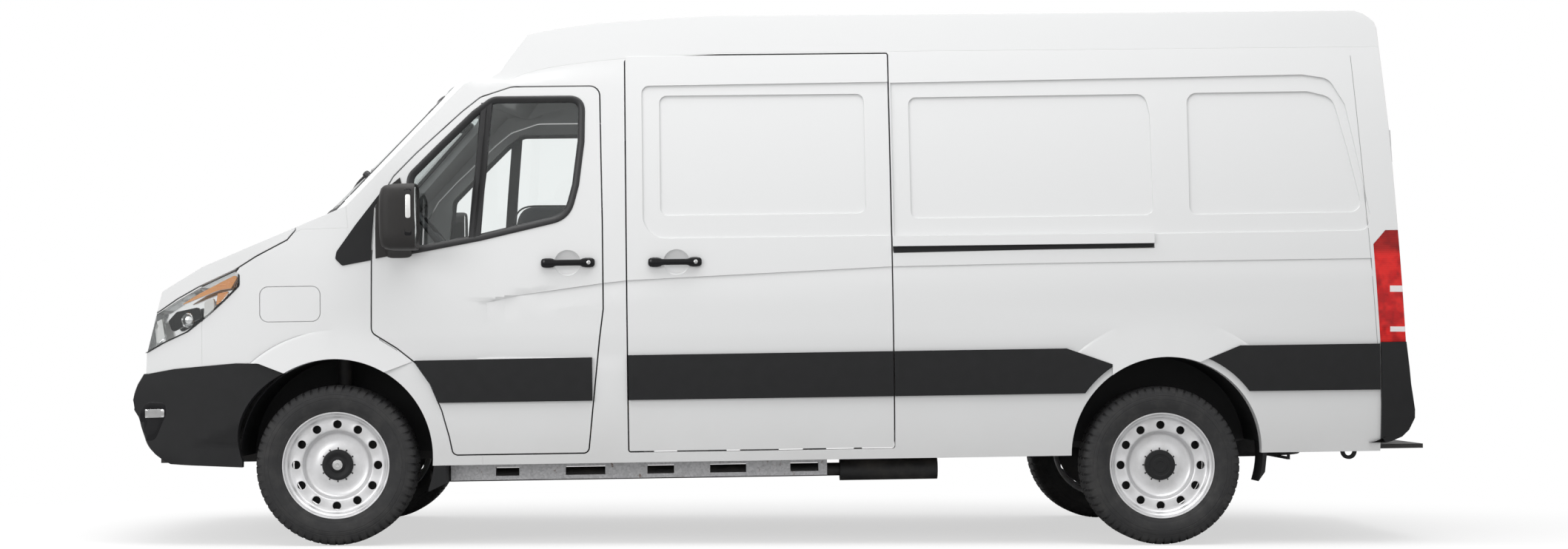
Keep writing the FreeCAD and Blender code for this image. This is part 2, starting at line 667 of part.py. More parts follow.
piece("roof", roof)
piece("front_panel", biggest(fascia, 2))
piece("wing_left", of_side(biggest(wings, 2), -1))
piece("wing_right", of_side(biggest(wings, 2), 1))
flap_leaf = skin_layer(0, mm.flap_leaf).common(prism(flap_line, "xz", -far, 0, -gap))
piece("filler_flap", biggest(flap_leaf, 1))
flap_middle = Vector((flap_line[0][0] + flap_line[2][0]) / 2, 0, (flap_line[0][1] + flap_line[1][1]) / 2)
filler_cap = drum(flap_middle, mm.filler_radius, -mm.half_width, 0).common(
    side_skin(mm.flap_pocket_depth - mm.filler_height, 0)).cut(side_skin(mm.flap_pocket_depth, 0))
piece("filler_cap", biggest(filler_cap, 1))

# Doors in the sides: their window, its glass and its rubber
door_leaf = skin.cut(inner).common(prism(door, "xz", -far, far, -gap))
window_hole = prism(window, "xz", -far, far)
divider_x = [0.515 * mm.cab_length, 0.5 * mm.cab_length]
divider = prism([(0.507 * mm.cab_length, 0.83 * mm.roof_height),
                 (0.507 * mm.cab_length + mm.divider_width, 0.83 * mm.roof_height),
                 (0.462 * mm.cab_length + mm.divider_width, 0.55 * mm.roof_height),
                 (0.462 * mm.cab_length, 0.55 * mm.roof_height)], "xz", -far, far)
pane = prism(window, "xz", -far, far, -mm.fit_gap)
pane = pane.common(skin_layer(-mm.glass_inset, mm.glass_inset + mm.glass_wall))
door_leaf = door_leaf.cut(window_hole)
strip_layer = skin_layer(mm.strip_proud)
door_strip = strip_layer.common(strips[0]).common(prism(door, "xz", -far, far, -gap))
door_strip = door_strip.cut(drum(front_arch, mm.arch_radius + mm.lip_width, -far, far))
sail = skin_layer(mm.lamp_proud).common(prism(cab(SAIL_SHARES), "xz", -far, far))
sail_door = sail.common(prism(door, "xz", -far, far, -gap - 1.6 * mm.lamp_proud)).cut(window_hole)
sail_fixed = sail.cut(door_zone)
hood_axis = Vector(-mm.hood_hinge_x, 0, mm.hood_hinge_z)
pivot = drum(hood_axis, mm.hinge_pin, mm.hood_hinge_y - 2 * hood_slot_half, mm.hood_hinge_y + 2 * hood_slot_half)
pivot = pivot.cut(cowl.cut(hood_slot))
cowl = cowl.cut(both_sides(hood_slot)).multiFuse(both_sides(pivot).Solids)
piece("cowl", biggest(cowl, 1))
piece("sail_panels", biggest(sail_fixed, 2))


def handle(x, z, side):
    """A pull handle over its dish, standing off the side."""
    y = mm.half_width - mm.hinge_pin
    grip = block(Vector(x - mm.handle_length / 2, y, z - mm.handle_height / 2),
                 Vector(x + mm.handle_length / 2, y + mm.handle_proud, z + mm.handle_height / 2))
    grip = grip.makeChamfer(mm.handle_height / 4, [e for e in grip.Edges if e.BoundBox.YMin > y + mm.hinge_pin])
    grip = grip.cut(block(Vector(x - mm.handle_dish, 0, z - mm.handle_height),
                          Vector(x + mm.handle_dish, y + mm.handle_proud / 2, z + mm.handle_height)))
    grip = grip.cut(side_skin(0, 0))
    return grip if side > 0 else grip.mirror(Vector(), Vector(0, 1, 0))


def mirror_head(side):
    """A door mirror: a deep rounded head on a short arm."""
    x, z = 0.2365 * mm.cab_length, 0.6 * mm.roof_height
    low = Vector(x - mm.mirror_depth / 2, mm.mirror_reach - mm.mirror_width, z - mm.mirror_height / 2)
    head = block(low, low + Vector(mm.mirror_depth, mm.mirror_width, mm.mirror_height))
    head = head.makeChamfer(mm.mirror_depth / 4, head.Edges)
    foot = 0.905 * mm.half_width
    arm = block(Vector(x - mm.mirror_depth / 3, foot, z - mm.mirror_height / 2 + mm.handle_dish / 2),
                Vector(x + mm.mirror_depth / 3, mm.mirror_reach - mm.mirror_width / 2,
                       z - mm.mirror_height / 2 + mm.handle_dish / 2 + 1.5 * mm.handle_height))
    arm = arm.cut(side_skin(-mm.lamp_proud + mm.fit_gap, 0))
    head = head.fuse(arm)
    return head if side > 0 else head.mirror(Vector(), Vector(0, 1, 0))


lean = math.tan(math.radians(mm.door_hinge_lean))
door_hinge_heights = (0.424 * mm.roof_height, 0.498 * mm.roof_height)
hinge_foot = Vector(0.128 * mm.cab_length + gap + mm.door_hinge_set, mm.half_width - mm.door_hinge_sink,
                    0.418 * mm.roof_height)
hinge_line = Vector(0, -lean, 1).normalize()


def hinge_rod(z, radius, half):
    """A round bar on the right door's hinge line, centred at a height."""
    spot = hinge_foot + Vector(0, -lean, 1) * (z - hinge_foot.z)
    return Part.makeCylinder(radius, 2 * half, spot - hinge_line * half, hinge_line)


post_front = 0.04 * mm.cab_length
pockets, pins, fixed_arms = [], [], []
for z in door_hinge_heights:
    y = hinge_foot.y - lean * (z - hinge_foot.z)
    half = mm.hinge_leaf / 2
    pockets.append(block(Vector(0, 0, z - half), Vector(hinge_foot.x + mm.door_hinge_eye + mm.door_hinge_sink,
                                                        y + mm.door_hinge_eye + gap, z + half)))
    pins.append(hinge_rod(z, mm.door_hinge_pin, half + mm.door_hinge_pin))
    inward = y - 1.2 * mm.door_hinge_set
    back = post_front + mm.hinge_arm_wall
    line = [(back, inward - mm.hinge_arm_wall),
            (hinge_foot.x + 2 * mm.hinge_arm_wall, inward - mm.hinge_arm_wall),
            (hinge_foot.x + 0.9 * mm.door_hinge_eye, y), (hinge_foot.x, y),
            (hinge_foot.x + mm.hinge_arm_wall, inward), (back, inward)]
    arm = prism(line, "xy", z - mm.hinge_arm_wall, z + mm.hinge_arm_wall)
    arm = arm.fuse(hinge_rod(z, mm.door_hinge_eye, mm.hinge_arm_wall))
    fixed_arms.append(arm.cut(hinge_rod(z, mm.door_hinge_pin + mm.hinge_bore_gap, half)))
post = block(Vector(post_front, 0.86 * mm.half_width,
                    front_arch.z + mm.arch_radius + mm.liner_wall + mm.fit_gap),
             Vector(0.128 * mm.cab_length - 3 * mm.shut_gap, mm.half_width, 0.57 * mm.roof_height)).common(room)
post = biggest(post.multiFuse(fixed_arms), 1)


def mirrored(shape, side):
    """The shape itself on the right side and its mirror image on the left."""
    return shape if side > 0 else shape.mirror(Vector(), Vector(0, 1, 0))


rear_tilt = math.radians(mm.rear_hinge_lean)
rear_hinge_foot = Vector(tail + 1.125 * mm.rear_hinge_proud,
                         mm.door_half_width + mm.hinge_arm_wall + gap, 0.2506 * mm.roof_height)
rear_line = Vector(-math.sin(rear_tilt), 0, math.cos(rear_tilt))
rear_hinge_heights = (0.385 * mm.roof_height, 0.719 * mm.roof_height)


def rear_rod(z, radius, low, high):
    """A round bar on the right rear door's hinge line between two heights from z."""
    spot = rear_hinge_foot + rear_line * ((z - rear_hinge_foot.z) / rear_line.z)
    return Part.makeCylinder(radius, high - low, spot + rear_line * low, rear_line)


def rear_leaf_plate(z, low, high, y_low, y_foot, y_high):
    """A hinge leaf standing off the rear face along the hinge line, let into it between the first two widths."""
    plate = block(Vector(-0.7 * mm.rear_hinge_proud, y_low, low), Vector(-0.3 * mm.rear_hinge_proud, y_high, high))
    plate = plate.fuse(block(Vector(-2 * mm.rear_hinge_proud, min(y_low, y_foot), low),
                             Vector(-0.3 * mm.rear_hinge_proud, max(y_low, y_foot), high)))
    spot = rear_hinge_foot + rear_line * ((z - rear_hinge_foot.z) / rear_line.z)
    plate.Placement = Placement(Vector(spot.x, 0, spot.z), Rotation(Vector(0, 1, 0), -math.degrees(rear_tilt)))
    return plate


rear_fixed, rear_moving, rear_bores = [], [], []
for z in rear_hinge_heights:
    leaf = mm.hinge_leaf
    axis_y = rear_hinge_foot.y
    rear_fixed.append(rear_rod(z, mm.hinge_pin, -leaf, leaf))
    rear_fixed.append(rear_rod(z, mm.hinge_barrel, mm.fit_gap, leaf))
    rear_fixed.append(rear_leaf_plate(z, mm.fit_gap, leaf, axis_y, axis_y + leaf, axis_y + leaf))
    rear_moving.append(rear_rod(z, mm.hinge_barrel, -leaf, -mm.fit_gap))
    rear_moving.append(rear_leaf_plate(z, -leaf, -mm.fit_gap, axis_y - leaf,
                                       mm.door_half_width - mm.shut_gap, axis_y))
    rear_bores.append(rear_rod(z, mm.hinge_pin + mm.hinge_bore_gap, -2 * leaf, 0))

NAMES = {-1: "left", 1: "right"}
for side, name in NAMES.items():
    wall_side = biggest(of_side(sides, side), 1).Solids[0]
    wall_side = wall_side.multiFuse([mirrored(item, side) for item in rear_fixed])
    piece(f"body_side_{name}", Part.makeCompound(biggest(wall_side, 1).Solids + mirrored(post, side).Solids))
    leaf = biggest(of_side(door_leaf, side), 1).Solids[0]
    leaf = leaf.cut([mirrored(item, side) for item in pockets])
    leaf = leaf.multiFuse([mirrored(item, side).common(of_side(prism(door, "xz", -far, far, -gap), side)) for item in pins])
    piece(f"front_door_{name}", biggest(leaf, 1))
    piece(f"door_glass_{name}", of_side(pane.cut(divider), side))
    trim = [mirror_head(side).fuse(of_side(sail_door, side)), of_side(pane.common(divider), side),
            handle(0.8 * mm.cab_length, 0.515 * mm.roof_height, side)]
    piece(f"door_trim_{name}", Part.makeCompound(trim + biggest(of_side(door_strip, side), 1).Solids))

slider_leaf = shell.common(prism(slider, "xz", -far, far, -gap))
piece("sliding_doors", biggest(slider_leaf, 2))

# Rear doors
rear_leaf = shell.common(block(Vector(tail - mm.half_width / 2, -mm.door_half_width + gap, rear_door_foot + gap),
                               Vector(far, mm.door_half_width - gap, rear_door_head - gap)))
rear_leaf = rear_leaf.cut(block(Vector(0, -gap, 0), Vector(far, gap, far)))
for side, name in NAMES.items():
    leaf = biggest(of_side(rear_leaf, side), 1).Solids[0]
    leaf = leaf.multiFuse([mirrored(item, side) for item in rear_moving])
    piece(f"rear_door_{name}", biggest(leaf.cut([mirrored(item, side) for item in rear_bores]), 1))

# Bonnet, flap, lamps, screen and bumpers
hood_leaf = skin.cut(inner).common(hood_zone)
hood_cut = prism(hood_edge, "xz", -far, far, -mm.shut_gap)
hood_leaf = hood_leaf.common(hood_cut)
hood_leaf = hood_leaf.common(prism(hood_plan, "xy", 0, far, -mm.shut_gap))
arm_line = [(-2 * mm.hood_hinge_x, mm.hood_hinge_z - 1.45 * mm.hinge_leaf),
            (-mm.hood_hinge_x - 0.3 * mm.hinge_leaf, mm.hood_hinge_z - 0.7 * mm.hinge_leaf),
            (-mm.hood_hinge_x + mm.hinge_pin, mm.hood_hinge_z - mm.hinge_pin),
            (-mm.hood_hinge_x - 1.6 * mm.hinge_pin, mm.hood_hinge_z - mm.hinge_pin),
            (-mm.hood_hinge_x - 0.6 * mm.hinge_leaf, mm.hood_hinge_z - 0.5 * mm.hinge_leaf),
            (-2 * mm.hood_hinge_x, mm.hood_hinge_z - 0.9 * mm.hinge_leaf)]
arm_low = mm.hood_hinge_y - mm.hinge_arm_wall / 2
hood_arm = prism(arm_line, "xz", arm_low, arm_low + mm.hinge_arm_wall)
hood_arm = hood_arm.fuse(drum(hood_axis, 1.7 * mm.hinge_pin, arm_low, arm_low + mm.hinge_arm_wall))
hood_leaf = biggest(hood_leaf, 1).Solids[0].multiFuse(both_sides(hood_arm).Solids)
hood_leaf = hood_leaf.cut(drum(hood_axis, mm.hinge_pin + mm.hinge_bore_gap, -far, far))
piece("hood", biggest(hood_leaf, 1))
piece("headlamps", biggest(skin.cut(inner).common(lamp_zone), 2))
piece("tail_lamps", biggest(shell.common(tail_lamp_zone), 2))
screen_glass = prism(glass_line, "yz", -far, mm.cab_length / 2, -mm.fit_gap)
screen_glass = screen_glass.common(cab_skin("screen", mm.seal_proud))
screen_glass = screen_glass.cut(cab_skin("screen", mm.seal_proud + mm.glass_wall))
piece("windscreen", biggest(screen_glass, 1))


def bumper_form(depth, curved=True):
    """The front bumper's bulge, drawn in by the depth, as three crowned bands and the sides."""
    form = side_skin(depth - mm.lamp_proud, 0, curved)
    for along, up, slope in ((-0.98, 0.292, 74.5), (-1, 0.24, 90), (-0.965, 0.186, 111)):
        form = form.common(crowned_block(along * mm.front_reach, up * mm.roof_height, slope,
                                         mm.nose_crown, depth, curved))
    return form


bumper = bumper_form(0).cut(bumper_form(mm.bumper_wall, False)).common(prism(cab(BUMPER_SHARES), "xz", -far, far, -mm.fit_gap))
bumper = bumper.cut(drum(front_arch, mm.arch_radius, -far, far))
piece("front_bumper", biggest(bumper, 1))
tail_bumper = envelope(-mm.bumper_proud, 0.16 * mm.roof_height).cut(inner).common(bumper_rear_zone)
hinge_room = block(Vector(tail - mm.wall, mm.door_half_width, rear_hinge_heights[0] - 1.2 * mm.hinge_leaf),
                   Vector(far, rear_hinge_foot.y + 1.1 * mm.hinge_leaf, far))
tail_bumper = tail_bumper.cut(both_sides(hinge_room).Solids)
piece("rear_bumper", biggest(tail_bumper, 1))
slats = []
slat_top, slat_foot = 0.415 * mm.roof_height, 0.337 * mm.roof_height
for i in range(int(mm.slat_count)):
    z = slat_foot + (i + 0.5) * (slat_top - slat_foot) / mm.slat_count
    slats.append(block(Vector(-far, -far, z - mm.slat_height / 2), Vector(0, far, z + mm.slat_height / 2)))
half_in = envelope(mm.wall / 2, 0, False)
slat_band = outer.cut(half_in).common(grille_hole)
back_band = half_in.cut(inner).common(grille_hole)
piece("grille", biggest(slat_band.common(slats[0].multiFuse(slats[1:])).fuse(back_band), 1))

# Rub strips on the fixed sides
fixed_strip = strip_layer.common(strips[1].fuse(strips[2])).cut(block(Vector(-far, -far, 0),
                                                                      Vector(mm.cab_length + gap, far, far)))
fixed_strip = fixed_strip.cut(block(Vector(slider_rear - gap, -far, 0), Vector(slider_rear + gap, far, far)))
fixed_strip = fixed_strip.cut(drum(rear_arch, mm.arch_radius + mm.lip_width, -far, far))
rail = skin_layer(mm.rail_proud).common(block(Vector(rail_front, -far, rail_foot),
                                              Vector(rail_front + mm.rail_length, far, rail_foot + mm.rail_height)))
piece("slide_rails", rail)
slider_handles = both_sides(handle(mm.cab_length + 0.182 * mm.slider_width, 0.514 * mm.roof_height, 1))
piece("side_trim", Part.makeCompound(fixed_strip.Solids + slider_handles.Solids))


# Wheels: many-sided forms about their own Z axis, with the outer face toward -Z. A flat of the tyre
# lies on the ground, so the corner radius is the stated radius times the corner share.

def corner_share(sides):
    """A regular polygon's corner radius for a flat at radius one."""
    return 1 / math.cos(math.pi / sides)


def bar(label, sides, radius, low, high):
    """A many-sided bar along Z between two heights, its flats at the radius."""
    item = primitive("Part::Prism", label, (none, none, low), Circumradius=radius * corner_share(sides),
                     Height=high - low)
    item.Polygon = sides
    return item


def cut(label, base, tool):
    """The base with the tool taken away."""
    item = doc.addObject("Part::Cut", label)
    item.Label = label
    item.Base = base
    item.Tool = tool
    return item


def wheel(label):
    """A tyre and a pressed rim."""
    half = to.tyre_width * 0.5
    bead = to.bead_width * 0.5
    tread = half - to.tyre_shoulder
    seat = mm.rim_radius * corner_share(TYRE_SIDES)
    tyre = piece("tyre_" + label, faceted([
        (seat, -bead.value), (seat, bead.value), (mm.tyre_bulge_radius, half.value),
        (mm.tyre_radius, tread.value), (mm.tyre_radius, -tread.value),
        (mm.tyre_bulge_radius, -half.value)], TYRE_SIDES))
    face = -bead + to.disc_edge_depth
    floor = face + to.bowl_depth
    edge = to.rim_radius - to.rim_wall * 2
    blank = bar("rim_blank_" + label, TYRE_SIDES, to.rim_radius - to.fit_gap, -bead, bead)
    tools = [bar("rim_front_" + label, RIM_SIDES, edge, -bead * 2, face),
             bar("rim_back_" + label, RIM_SIDES, edge, floor + to.disc_wall, bead * 2),
             bar("rim_bowl_" + label, BOWL_SIDES, to.bowl_radius, -bead * 2, floor)]
    for place in range(int(mm.wheel_hole_count)):
        turn = 2 * math.pi * place / mm.wheel_hole_count
        vent = bar(f"vent_{place}_{label}", VENT_SIDES, to.wheel_hole_radius, -bead, bead)
        for axis, share in (("x", math.cos(turn)), ("y", math.sin(turn))):
            reach = to.wheel_hole_ring * share
            setattr(vent.Placement.Base, axis, reach.value)
            vent.setExpression(f"Placement.Base.{axis}", reach.formula)
        tools.append(vent)
    pressed = cut("rim_pressed_" + label, blank, joined("rim_tools_" + label, tools))
    cap = bar("rim_cap_" + label, BOWL_SIDES, to.hub_cap_radius, floor - to.hub_cap_depth, floor)
    rim = joined("rim_" + label, [pressed, cap])
    return tyre, rim


# Mud flaps behind the arches, before the sill and behind the rear wheels
FRONT_FLAP_SHARES = ((0.29, 0.247), (0.343, 0.245), (0.363, 0.203), (0.373, 0.15), (0.375, 0.111),
                     (0.314, 0.096), (0.312, 0.13), (0.308, 0.198))
REAR_FLAP_SHARES = ((0.33, 0.262), (0.378, 0.252), (0.425, 0.145), (0.415, 0.108), (0.385, 0.089), (0.37, 0.14))
flap_low = mm.half_width - mm.mud_flap_inset
front_flap = [(x * mm.cab_length, z * mm.roof_height) for x, z in FRONT_FLAP_SHARES]
rear_flap = [(mm.wheelbase + x * mm.rear_reach, z * mm.roof_height) for x, z in REAR_FLAP_SHARES]
mud_flaps = [prism(line, "xz", flap_low, mm.half_width - mm.wall - mm.fit_gap) for line in (front_flap, rear_flap)]

wheels = {}
for end in ("front", "rear"):
    for name in NAMES.values():
        wheels[(end, name)] = wheel(f"{end}_{name}")

# Running gear
track = {"front": mm.track_front / 2, "rear": mm.track_rear / 2}
disc_back = mm.bead_width / 2 - mm.disc_edge_depth - mm.bowl_depth - mm.disc_wall
kingpin_y = track["front"] - mm.kingpin_inset
ball_low = mm.tyre_radius - mm.upright_height / 2
for side, name in NAMES.items():
    hub_y = track["front"] + disc_back
    upright_y = kingpin_y - mm.upright_width
    stub = drum(front_axle, mm.spindle_radius, upright_y, hub_y - mm.fit_gap)
    upright = block(Vector(-mm.upright_width, upright_y - mm.upright_width / 2, mm.tyre_radius - mm.upright_height / 2),
                    Vector(mm.upright_width, upright_y + mm.upright_width / 2, mm.tyre_radius + mm.upright_height / 2))
    upright = upright.makeChamfer(mm.upright_width / 3, [e for e in upright.Edges if e.BoundBox.YLength > mm.hinge_pin])
    boss = block(Vector(-mm.arm_width / 3, upright_y, ball_low),
                 Vector(mm.arm_width / 3, kingpin_y + mm.arm_width / 3, ball_low + mm.arm_height))
    socket = Part.makeCylinder(mm.kingpin_radius + mm.hinge_bore_gap, mm.upright_height / 3, Vector(0, kingpin_y, 0))
    socket.translate(Vector(0, 0, ball_low - mm.upright_height / 12))
    knuckle = stub.multiFuse([upright, boss]).cut(socket)
    piece(f"knuckle_{name}", knuckle if side > 0 else knuckle.mirror(Vector(), Vector(0, 1, 0)))

frame_top = mm.floor_height - mm.floor_wall
frame_low = frame_top - mm.frame_depth
nose_top = mm.cab_floor_height - mm.floor_wall
nose_low = nose_top - mm.frame_depth
step_x = 0.93 * mm.cab_length
frame_edge = mm.frame_half + mm.frame_width
frame_tail = tail - mm.wall - mm.member_width
rails = block(Vector(step_x + mm.floor_wall + mm.fit_gap, mm.frame_half, frame_low), Vector(frame_tail, frame_edge, frame_top))
nose_rail = block(Vector(-0.86 * mm.front_reach, mm.frame_half, nose_low),
                  Vector(step_x + mm.floor_wall + mm.frame_depth, frame_edge, nose_top))
hangers = [rails.fuse(nose_rail)]
spring_end = rear_axle + Vector(0, mm.spring_inset, mm.beam_radius + mm.spring_rise + mm.spring_wall)
for x in (-mm.spring_reach, mm.spring_reach - mm.spring_width):
    hangers.append(block(Vector(spring_end.x + x, mm.frame_half, spring_end.z + mm.fit_gap),
                         Vector(spring_end.x + x + mm.spring_width, spring_end.y + mm.spring_width / 2, frame_top)))
spare_x = mm.wheelbase + mm.axle_housing_radius + 1.07 * mm.tyre_radius
for x in (spare_x - mm.tyre_radius / 2, spare_x + mm.tyre_radius / 2):
    hangers.append(block(Vector(x, mm.frame_half, mm.spare_drop - mm.tray_wall),
                         Vector(x + mm.tray_wall, mm.frame_half + mm.tray_wall, frame_low)))
rail_y = 0.77 * mm.half_width
for x in (0.6 * mm.cab_length, 0.92 * mm.cab_length, mm.cab_length + 0.3 * mm.slider_width, mm.cab_length + 0.68 * mm.slider_width):
    top = nose_top if x < step_x else frame_low + mm.member_width / 2
    hangers.append(block(Vector(x, mm.frame_half, mm.sill_height), Vector(x + mm.member_width, rail_y + mm.sill_rail_width, top)))
hangers.append(block(Vector(frame_tail - mm.member_width, mm.frame_half, mm.sill_height + mm.step_wall),
                     Vector(frame_tail, frame_edge, frame_top)))
members = []
for x in (-0.5 * mm.front_reach, 0.45 * mm.cab_length):
    members.append(block(Vector(x, -mm.frame_half, nose_low), Vector(x + mm.member_width, mm.frame_half, nose_top - mm.frame_depth / 2)))
for x in (slider_rear, mm.wheelbase - mm.spring_reach, frame_tail - mm.member_width):
    members.append(block(Vector(x, -mm.frame_half, frame_low), Vector(x + mm.member_width, mm.frame_half, frame_top)))
for x in (spare_x - mm.tyre_radius / 2, spare_x + mm.tyre_radius / 2):
    members.append(block(Vector(x, -mm.frame_half, mm.spare_drop - mm.tray_wall),
                         Vector(x + mm.tray_wall, mm.frame_half, mm.spare_drop)))
halves = hangers + [item.mirror(Vector(), Vector(0, 1, 0)) for item in hangers]
piece("frame", halves[0].multiFuse(halves[1:] + members))

floor = block(Vector(mm.cab_length * 0.93, -far, frame_top + mm.fit_gap), Vector(far, far, mm.floor_height))
riser = block(Vector(mm.cab_length * 0.93, -far, mm.cab_floor_height - mm.floor_wall + mm.fit_gap),
              Vector(mm.cab_length * 0.93 + mm.floor_wall, far, mm.floor_height))
cab_floor = block(Vector(-0.08 * mm.front_reach, -far, mm.cab_floor_height - mm.floor_wall + mm.fit_gap),
                  Vector(mm.cab_length * 0.93 + mm.floor_wall, far, mm.cab_floor_height))
floor = floor.multiFuse([riser, cab_floor]).common(room)
houses = []
liners = []
for centre, depth in ((front_arch, mm.front_liner_depth), (rear_arch, mm.liner_depth)):
    inside = mm.half_width - mm.wall - depth
    tube = drum(centre, mm.arch_radius + mm.liner_wall, inside - mm.liner_wall, mm.half_width)
    houses.append(both_sides(drum(centre, mm.arch_radius + mm.liner_wall + mm.fit_gap, inside - mm.liner_wall - mm.fit_gap, far)))
    lined = tube.cut(drum(centre, mm.arch_radius, inside, far))
    lined = lined.common(block(Vector(-far, 0, mm.tyre_radius + mm.arch_rise), Vector(far, far, far)))
    lined = lined.common(room)
    liners.extend([lined, lined.mirror(Vector(), Vector(0, 1, 0))])
floor = floor.cut(houses)
walls = outer.cut(room)
flap_pair = [flap.cut(houses + [walls, block(Vector(-far, -far, under), Vector(far, far, far))])
             for flap, under in zip(mud_flaps, (nose_top, frame_top))]
flap_pair = [biggest(item, 1).Solids[0] for item in flap_pair]
piece("mud_flaps", both_sides(Part.makeCompound(flap_pair)))
piece("floor", biggest(floor, 1))
piece("wheel_houses", Part.makeCompound(liners))

firewall = block(Vector(-0.08 * mm.front_reach, -far, mm.cab_floor_height + mm.fit_gap),
                 Vector(-0.08 * mm.front_reach + mm.firewall_wall, far, 0.53 * mm.roof_height))
piece("firewall", biggest(firewall.common(room).cut(houses), 1))
dash = block(Vector(-0.08 * mm.front_reach + mm.firewall_wall + mm.fit_gap, -far, 0.44 * mm.roof_height),
             Vector(0.26 * mm.cab_length, far, 0.545 * mm.roof_height))
dash = dash.common(room).common(cab_skin("screen", mm.wall + mm.fit_gap))
dash = dash.cut(both_sides(block(Vector(0, 0.875 * mm.half_width, 0), Vector(far, far, far))))
dash = dash.cut(both_sides(post))
steering_place = Placement(Vector(0.33 * mm.cab_length, -0.47 * mm.half_width, 0.56 * mm.roof_height),
                           Rotation(Vector(0, 1, 0), mm.column_angle))
column_top = -2 * mm.wheel_rim_wall - mm.fit_gap
column = many_sided(mm.column_radius, column_top - mm.wheel_rim_radius, column_top, VENT_SIDES)
column.Placement = steering_place
piece("dashboard", biggest(dash.fuse(column), 1))

seat_front = 0.58 * mm.cab_length
seat_y = 0.52 * mm.half_width


def seat(y, width):
    """A seat on its plinth: cushion, back and head restraint."""
    plinth = block(Vector(seat_front + mm.wall, y - width / 3, mm.cab_floor_height),
                   Vector(step_x - mm.fit_gap, y + width / 3, mm.cab_floor_height + 2 * mm.seat_cushion))
    low = mm.cab_floor_height + 2 * mm.seat_cushion
    cushion = block(Vector(seat_front, y - width / 2, low),
                    Vector(seat_front + mm.seat_depth, y + width / 2, low + mm.seat_cushion))
    back = block(Vector(seat_front + mm.seat_depth - mm.seat_back_wall, y - width / 2, low + mm.seat_cushion),
                 Vector(seat_front + mm.seat_depth, y + width / 2, low + mm.seat_cushion + mm.seat_back))
    return plinth, cushion.fuse(back)


plinth, driver = seat(-seat_y, mm.seat_width)
bench_plinth, bench = seat(seat_y - mm.seat_width / 4, mm.bench_width)
piece("seat_bases", Part.makeCompound([plinth, bench_plinth]))
piece("seats", Part.makeCompound([driver, bench]))

engine_low = nose_top - mm.frame_depth / 2
engine = block(Vector(-0.72 * mm.front_reach, -mm.engine_width / 2, engine_low),
               Vector(-0.72 * mm.front_reach + mm.engine_length, mm.engine_width / 2, engine_low + mm.engine_height))
piece("engine", engine)
arms = []
for side in (-1, 1):
    arm_top = ball_low - mm.shut_gap
    arm = block(Vector(-mm.arm_width / 2, mm.frame_half, arm_top - mm.arm_height),
                Vector(mm.arm_width / 2, kingpin_y + mm.arm_width / 3, arm_top))
    leg = block(Vector(-mm.arm_width / 2, mm.frame_half, arm_top), Vector(mm.arm_width / 2, frame_edge, nose_low))
    pin = Part.makeCylinder(mm.kingpin_radius, mm.shut_gap + 0.7 * mm.arm_height, Vector(0, kingpin_y, arm_top))
    arm = arm.multiFuse([leg, pin])
    strut_foot = Vector(0, track["front"] - mm.strut_inset, mm.tyre_radius + mm.upright_height / 2 + mm.upright_width)
    strut_top = front_arch.z + math.sqrt(mm.arch_radius ** 2 - mm.strut_radius ** 2) - mm.fit_gap
    strut = Part.makeCylinder(mm.strut_radius, strut_top - strut_foot.z, strut_foot)
    arms.extend([mirrored(arm, side), mirrored(strut, side)])
piece("front_suspension", Part.makeCompound(arms))
beam = drum(rear_axle, mm.beam_radius, -track["rear"] - disc_back + mm.fit_gap, track["rear"] + disc_back - mm.fit_gap)
housing = many_sided(mm.axle_housing_radius, -0.8 * mm.axle_housing_radius, 0.8 * mm.axle_housing_radius, BOWL_SIDES)
housing = housing.makeChamfer(mm.beam_radius, [e for e in housing.Edges if e.BoundBox.ZLength < mm.fit_gap])
housing.Placement = Placement(rear_axle, Rotation(Vector(1, 0, 0), 90))
piece("rear_axle", beam.fuse(housing))
springs = []
for side in (-1, 1):
    base = rear_axle + Vector(0, side * mm.spring_inset, mm.beam_radius + mm.fit_gap / 10)
    points = [base + Vector(-mm.spring_reach, 0, mm.spring_rise), base, base + Vector(mm.spring_reach, 0, mm.spring_rise)]
    top = [p + Vector(0, 0, mm.spring_wall) for p in points]
    leaf = Part.Face(Part.Wire([run(points), run([points[2], top[2]]), run(top[::-1]), run([top[0], points[0]])]))
    leaf.translate(Vector(0, -mm.spring_width / 2, 0))
    springs.append(leaf.extrude(Vector(0, mm.spring_width, 0)))
piece("leaf_springs", Part.makeCompound(springs))
sill_rail = block(Vector(0.38 * mm.cab_length, rail_y, mm.sill_height - mm.sill_rail_height),
                  Vector(mm.cab_length + 0.75 * mm.slider_width, rail_y + mm.sill_rail_width, mm.sill_height))
SLOT_SHARES = ((0.119, 0.181), (0.304, 0.409), (0.521, 0.592), (0.688, 0.784), (0.902, 0.977))
sill_box = sill_rail.BoundBox
slots = [block(Vector(sill_box.XMin + start * sill_box.XLength, 0, sill_box.Center.z - mm.sill_slot_height / 2),
               Vector(sill_box.XMin + end * sill_box.XLength, far, sill_box.Center.z + mm.sill_slot_height / 2))
         for start, end in SLOT_SHARES]
piece("sill_rails", both_sides(sill_rail.cut(slots)))

